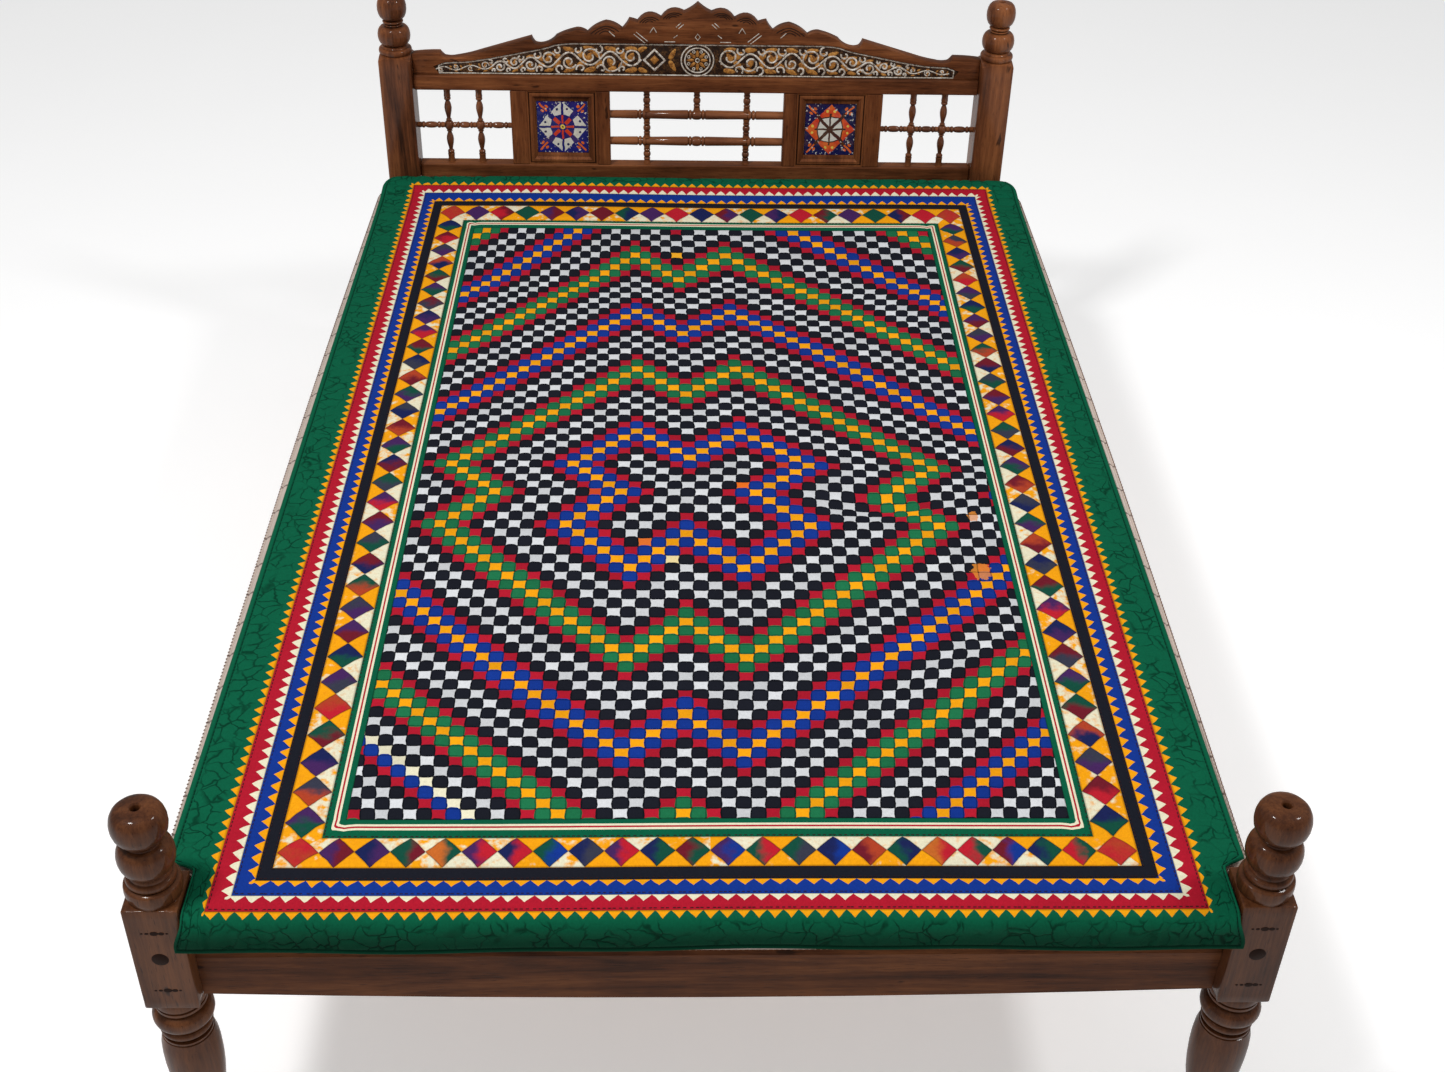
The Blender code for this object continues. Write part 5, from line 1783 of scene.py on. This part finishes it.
def diamond_colour(flat, ground, wander):
    """The band of diamonds: two-toned diamonds point to point, on yellow and cream triangles."""
    u, v, sideways, endways = sides_of(flat, 1)
    width = SIDE_SEAMS[2] - SIDE_SEAMS[1]
    foot_width = FOOT_SEAMS[1] - FOOT_SEAMS[2]
    head_width = HEAD_SEAMS[2] - HEAD_SEAMS[1]
    side_share = sideways / width
    foot = v < 0.0
    end_share = endways / foot.between(head_width, foot_width)
    on_side = side_share > end_share
    share = side_share.most(end_share)
    along_side = (v - FOOT_SEAMS[1]) / (HEAD_SEAMS[1] - FOOT_SEAMS[1]) * len(SIDE_TONES)
    along_end = (u + SIDE_SEAMS[1]) / (2 * SIDE_SEAMS[1])
    foot_count = along_end * len(FOOT_TONES)
    head_count = along_end * len(HEAD_TONES)
    count = on_side.between(foot.between(head_count, foot_count), along_side) + wander * 0.10
    number = count.floored()
    within = count - number
    half = (within + wander * 0.9).step(0.30, 0.70)
    corner = side_share.least(end_share) > 0.0
    reach = corner.between(abs(within * 2.0 - 1.0) + abs(share * 2.0 - 1.0),
                           abs(side_share * 2.0 - 1.0) + abs(end_share * 2.0 - 1.0))
    side_number = (u > 0.0).between(number, len(SIDE_TONES) - 1 - number)
    halves = []
    for which in (0, 1):
        at_end = foot.between(tone_chart(number, HEAD_TONES, which), tone_chart(number, FOOT_TONES, which))
        halves.append(on_side.between(at_end, tone_chart(side_number, SIDE_TONES, which)))
    diamond = half.between(*halves)
    blend = (wander * 1.5 + 0.5).step(0.1, 0.9)
    diamond = corner.between(diamond, blend.between(BRIGHT_RED, BRICK))
    triangle = flat.vector((count + 0.5).floored(), (share > 0.5) + on_side * 7.0, (u > 0.0) + foot * 3.0)
    own = flat.node("ShaderNodeTexWhiteNoise", {"noise_dimensions": "3D"}, {"Vector": triangle})
    rubbed = (ground.grain(70.0, 3.0) * 0.7 + own * 0.5 + (share < 0.5) * 0.12).step(0.66, 0.78)
    field = rubbed.between(COTTON_YELLOW, COTTON_CREAM)
    deeper = ground.grain(110.0, 3.0).step(0.50, 0.72) * 0.45
    field = deeper.between(field, COTTON_AMBER)
    seam = 1.0 - abs(reach - 1.0).step(0.0, 0.09)
    return (reach < 1.0).between(field, diamond), seam


CREASE_SCALE = 47.0
CREASE_BEND = 0.04
CREASE_WIDTH = 0.075
CREASE_DEPTH = 0.0011


def border_creases(flat, ground):
    """The crazed creases of the border: 1 in a crease. They break up and wander."""
    bend = ground.grain(26.0, 3.0, output=1).scaled((CREASE_BEND, CREASE_BEND, 0.0))
    bent = flat.node("ShaderNodeVectorMath", {"operation": "ADD"}, {0: ground, 1: bend})
    cracks = bent.node("ShaderNodeTexVoronoi", {"feature": "DISTANCE_TO_EDGE"},
                       {"Vector": bent, "Scale": CREASE_SCALE})
    strength = ground.grain(22.0, 2.0).step(0.33, 0.57)
    border = flat.part(2).step(5.15, 5.3) * (1.0 - flat.part(2).step(5.80, 5.86))
    return (1.0 - cracks.step(0.0, CREASE_WIDTH)) * strength * border


WEAVE_PITCH = 0.0009
SEAM_SHADE = 0.45
HEM_SHADE = 0.45
CREASE_SHADE = 0.60
FOLD_SHADE = 0.68
COTTON_RELIEF = 0.0005


def ground_of(flat):
    """The flat cloth's own plane, without the band's number."""
    return flat.scaled((1.0, 1.0, 0.0))


def quilt_finish():
    """The pieced cotton: every patch and band in its colour, with soil and weave, and painted shade in its
    seams, along its hem, in its creases and over the folded flap.
    """
    material, flat = new_finish("quilt_cotton", {"Specular IOR Level": 0.05}, attribute="flat")
    cell = flat.node("ShaderNodeAttribute", {"attribute_name": "cell"}, {}, "Vector")
    ground = ground_of(flat)
    band = flat.part(2)
    wander = ground.grain(42.0, 3.0) - 0.5
    field, field_seam = field_colour(cell, ground)
    diamonds, diamond_seam = diamond_colour(flat, ground, wander)
    colour = band_colours(band)
    for row in TOOTH_ROWS:
        colour = add_teeth(colour, flat, wander, row)
    in_diamonds = (band > 1.0) * (band < 2.0)
    beyond = sides_of(flat, 0)
    in_field = beyond[2].most(beyond[3]) < 0.0
    colour = in_diamonds.between(colour, diamonds)
    colour = in_field.between(colour, field)
    seam = in_field.between(in_diamonds * diamond_seam, field_seam)
    band_seam = (1.0 - abs(band - band.rounded()).step(0.0, 0.05)) * (band > -0.1) * (band < 5.5)
    hem = 1.0 - abs(band - 5.87).step(0.0, 0.03)
    creases = border_creases(flat, ground)
    cloud = ground.grain(16.0, 4.0, 0.6)
    slub = ground.scaled((1.0, 0.6, 1.0)).grain(430.0, 3.0, 0.7)
    # Painted shade: the colour is darkened along the seams, along the hem's stitch line, in the border's
    # creases and over the flap folded down at the foot.
    folded = 1.0 - flat.part(1).step(FOOT_END + 0.014, FOOT_FACE + FOOT_FOLD * 0.6)
    dark = (seam.most(band_seam) * SEAM_SHADE + hem * HEM_SHADE + creases * CREASE_SHADE).least(0.9)
    dark = 1.0 - (1.0 - dark) * (1.0 - folded * FOLD_SHADE)
    mottle = ground.grain(200.0, 3.0, 0.6)
    tone = (1.0 - dark) * (cloud * 0.26 + slub * 0.46 + mottle * 0.30 + 0.51)
    colour = colour.shaded(tone)
    weave = ground.part(0).saw(WEAVE_PITCH) * 0.5 + ground.part(1).saw(WEAVE_PITCH) * 0.5
    relief = weave * 0.25 + slub * 0.5 - seam.most(band_seam) * 1.2 - creases * 1.6 - hem
    lay_on(material, colour, cloud * 0.15 + 0.78, relief, COTTON_RELIEF)
    return material


def crease_the_border(thing):
    """Press the same creases into the mesh of the border, and apply them."""
    tree = bpy.data.node_groups.new("border_creases", "GeometryNodeTree")
    tree.interface.new_socket("Geometry", in_out="INPUT", socket_type="NodeSocketGeometry")
    tree.interface.new_socket("Geometry", in_out="OUTPUT", socket_type="NodeSocketGeometry")
    source = Paint(tree, tree.nodes.new("NodeGroupInput").outputs[0])
    flat = source.node("GeometryNodeInputNamedAttribute", {"data_type": "FLOAT_VECTOR"}, {"Name": "flat"})
    normal = source.node("GeometryNodeInputNormal", {}, {})
    creases = border_creases(flat, ground_of(flat))
    depth = creases * -CREASE_DEPTH
    offset = normal.node("ShaderNodeVectorMath", {"operation": "SCALE"}, {0: normal, "Scale": depth})
    moved = source.node("GeometryNodeSetPosition", {}, {"Geometry": source, "Offset": offset})
    out = tree.nodes.new("NodeGroupOutput")
    tree.links.new(moved.socket, out.inputs[0])
    thing.modifiers.new("creases", "NODES").node_group = tree
    graph = bpy.context.evaluated_depsgraph_get()
    shaped = bpy.data.meshes.new_from_object(thing.evaluated_get(graph), preserve_all_data_layers=True,
                                             depsgraph=graph)
    thing.modifiers.clear()
    thing.data = shaped


HEM_THREAD = dye(4, 34, 24)
HEM_THREAD_WORN = dye(10, 58, 42)
SEAM_THREAD = dye(24, 18, 26)
SEAM_THREAD_WORN = dye(70, 44, 48)
STITCH_THREAD = 0.00055
STITCH_PITCH = 0.0068
STITCH_LENGTH = 0.0036
STITCH_STAND = 0.0004
HEM_STITCH_IN = 0.0006
SEAM_ROWS = ((1, -0.0022), (2, 0.0024), (3, -0.0026), (4, -0.0026), (5, -0.0028))


def stitch(u0, v0, u1, v1):
    """One stitch on the cloth, between two places of its flat plane."""
    return [Vector(cloth_place(u, v, band_relief(u, v) + STITCH_STAND)) for u, v in ((u0, v0), (u1, v1))]


def sewn_round(side, foot, head):
    """Running stitches round a rectangle of the flat cloth."""
    corners = [(-side, foot), (side, foot), (side, head), (-side, head), (-side, foot)]
    stitches = []
    for (u0, v0), (u1, v1) in zip(corners, corners[1:]):
        length = math.hypot(u1 - u0, v1 - v0)
        count = round(length / STITCH_PITCH)
        share = STITCH_LENGTH / length
        for k in range(count):
            start = (k + 0.25 + 0.2 * noise.cell(Vector((k + 0.5, side * 97.0, u0 * 31.0)))) / count
            stop = start + share
            stitches.append(stitch(u0 + (u1 - u0) * start, v0 + (v1 - v0) * start,
                                   u0 + (u1 - u0) * stop, v0 + (v1 - v0) * stop))
    return stitches


def sew(name, stitches, colour, worn):
    """The stitches of one thread as a joined mesh."""
    material = thread_finish(name + "_thread", 500.0, colour, worn)
    bm = bmesh.new()
    lay_cords(bm, stitches, STITCH_THREAD, sides=0)
    return new_piece(name, bm, [material], crisp=80.0)


hem_line = HEM + HEM_STITCH_IN
hem_places = sewn_round(QUILT_EDGE - hem_line, FOOT_END + hem_line, HEAD_END - hem_line)
hem_stitches = sew("hem_stitches", hem_places, HEM_THREAD, HEM_THREAD_WORN)
seam_places = []
for seam, out in SEAM_ROWS:
    seam_places += sewn_round(SIDE_SEAMS[seam] + out, FOOT_SEAMS[seam] - out, HEAD_SEAMS[seam] + out)
seam_stitches = sew("seam_stitches", seam_places, SEAM_THREAD, SEAM_THREAD_WORN)

quilt = build_quilt(quilt_finish())
crease_the_border(quilt)
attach(quilt, "root")
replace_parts(quilt, "quilt")


# Floor, light and camera.
# A plain pale floor under soft light from above and in front, seen from above the foot of the bed.

FLOOR_GLOW = 0.30
FLOOR_HALF = 40.0
WHITE_LIGHT = (1.0, 1.0, 1.0, 1.0)
LAMPS = (
    ("key", 0.55, 76.0, (-1.6, -1.3, 3.85)),
    ("fill", 0.50, 37.0, (2.4, -0.6, 3.4)),
)
LAMP_AIM = (0.0, 0.0, 0.4)
ROOM_LIGHT = 0.38
PHOTO_LENS = 44.04
EYE_PLACE = (-0.0557, -2.4287, 2.0524)
EYE_TURN = (53.790, -1.152, -1.328)


def build_floor():
    """A wide pale floor with the faintest grain, lit from within like a light table."""
    bm = bmesh.new()
    bmesh.ops.create_grid(bm, x_segments=1, y_segments=1, size=FLOOR_HALF)
    material, place = new_finish("floor_paint", {"Specular IOR Level": 0.1, "Emission Strength": FLOOR_GLOW,
                                                 "Emission Color": WHITE_LIGHT})
    speck = place.grain(3.0, 3.0)
    paint = speck.between(dye(252, 252, 252), dye(254, 254, 254))
    lay_on(material, paint, speck * 0.1 + 0.8, speck, 0.0001)
    named_thing("floor", bm, [material])


def add_light(name, size, power, place):
    """A soft square light that looks at the middle of the bed."""
    lamp = bpy.data.lights.new(name, "AREA")
    lamp.size = size
    lamp.energy = power
    holder = bpy.data.objects.new(name, lamp)
    holder.location = place
    holder.rotation_euler = (Vector(LAMP_AIM) - Vector(place)).to_track_quat("-Z", "Y").to_euler()
    bpy.context.scene.collection.objects.link(holder)


def light_the_room():
    """Even light from all round, with two broad lamps."""
    world = bpy.data.worlds.new("room")
    bpy.context.scene.world = world
    world.use_nodes = True
    background = world.node_tree.nodes["Background"]
    background.inputs["Color"].default_value = WHITE_LIGHT
    background.inputs["Strength"].default_value = ROOM_LIGHT
    for name, size, power, place in LAMPS:
        add_light(name, size, power, place)
    bpy.context.scene.view_settings.view_transform = "Standard"


def place_camera():
    """The camera stands over the foot of the bed and looks down along it."""
    lens = bpy.data.cameras.new("camera")
    lens.lens = PHOTO_LENS
    lens.sensor_width = 36.0
    holder = bpy.data.objects.new("camera", lens)
    holder.location = EYE_PLACE
    holder.rotation_euler = [math.radians(angle) for angle in EYE_TURN]
    bpy.context.scene.collection.objects.link(holder)
    bpy.context.scene.camera = holder


build_floor()
light_the_room()
place_camera()
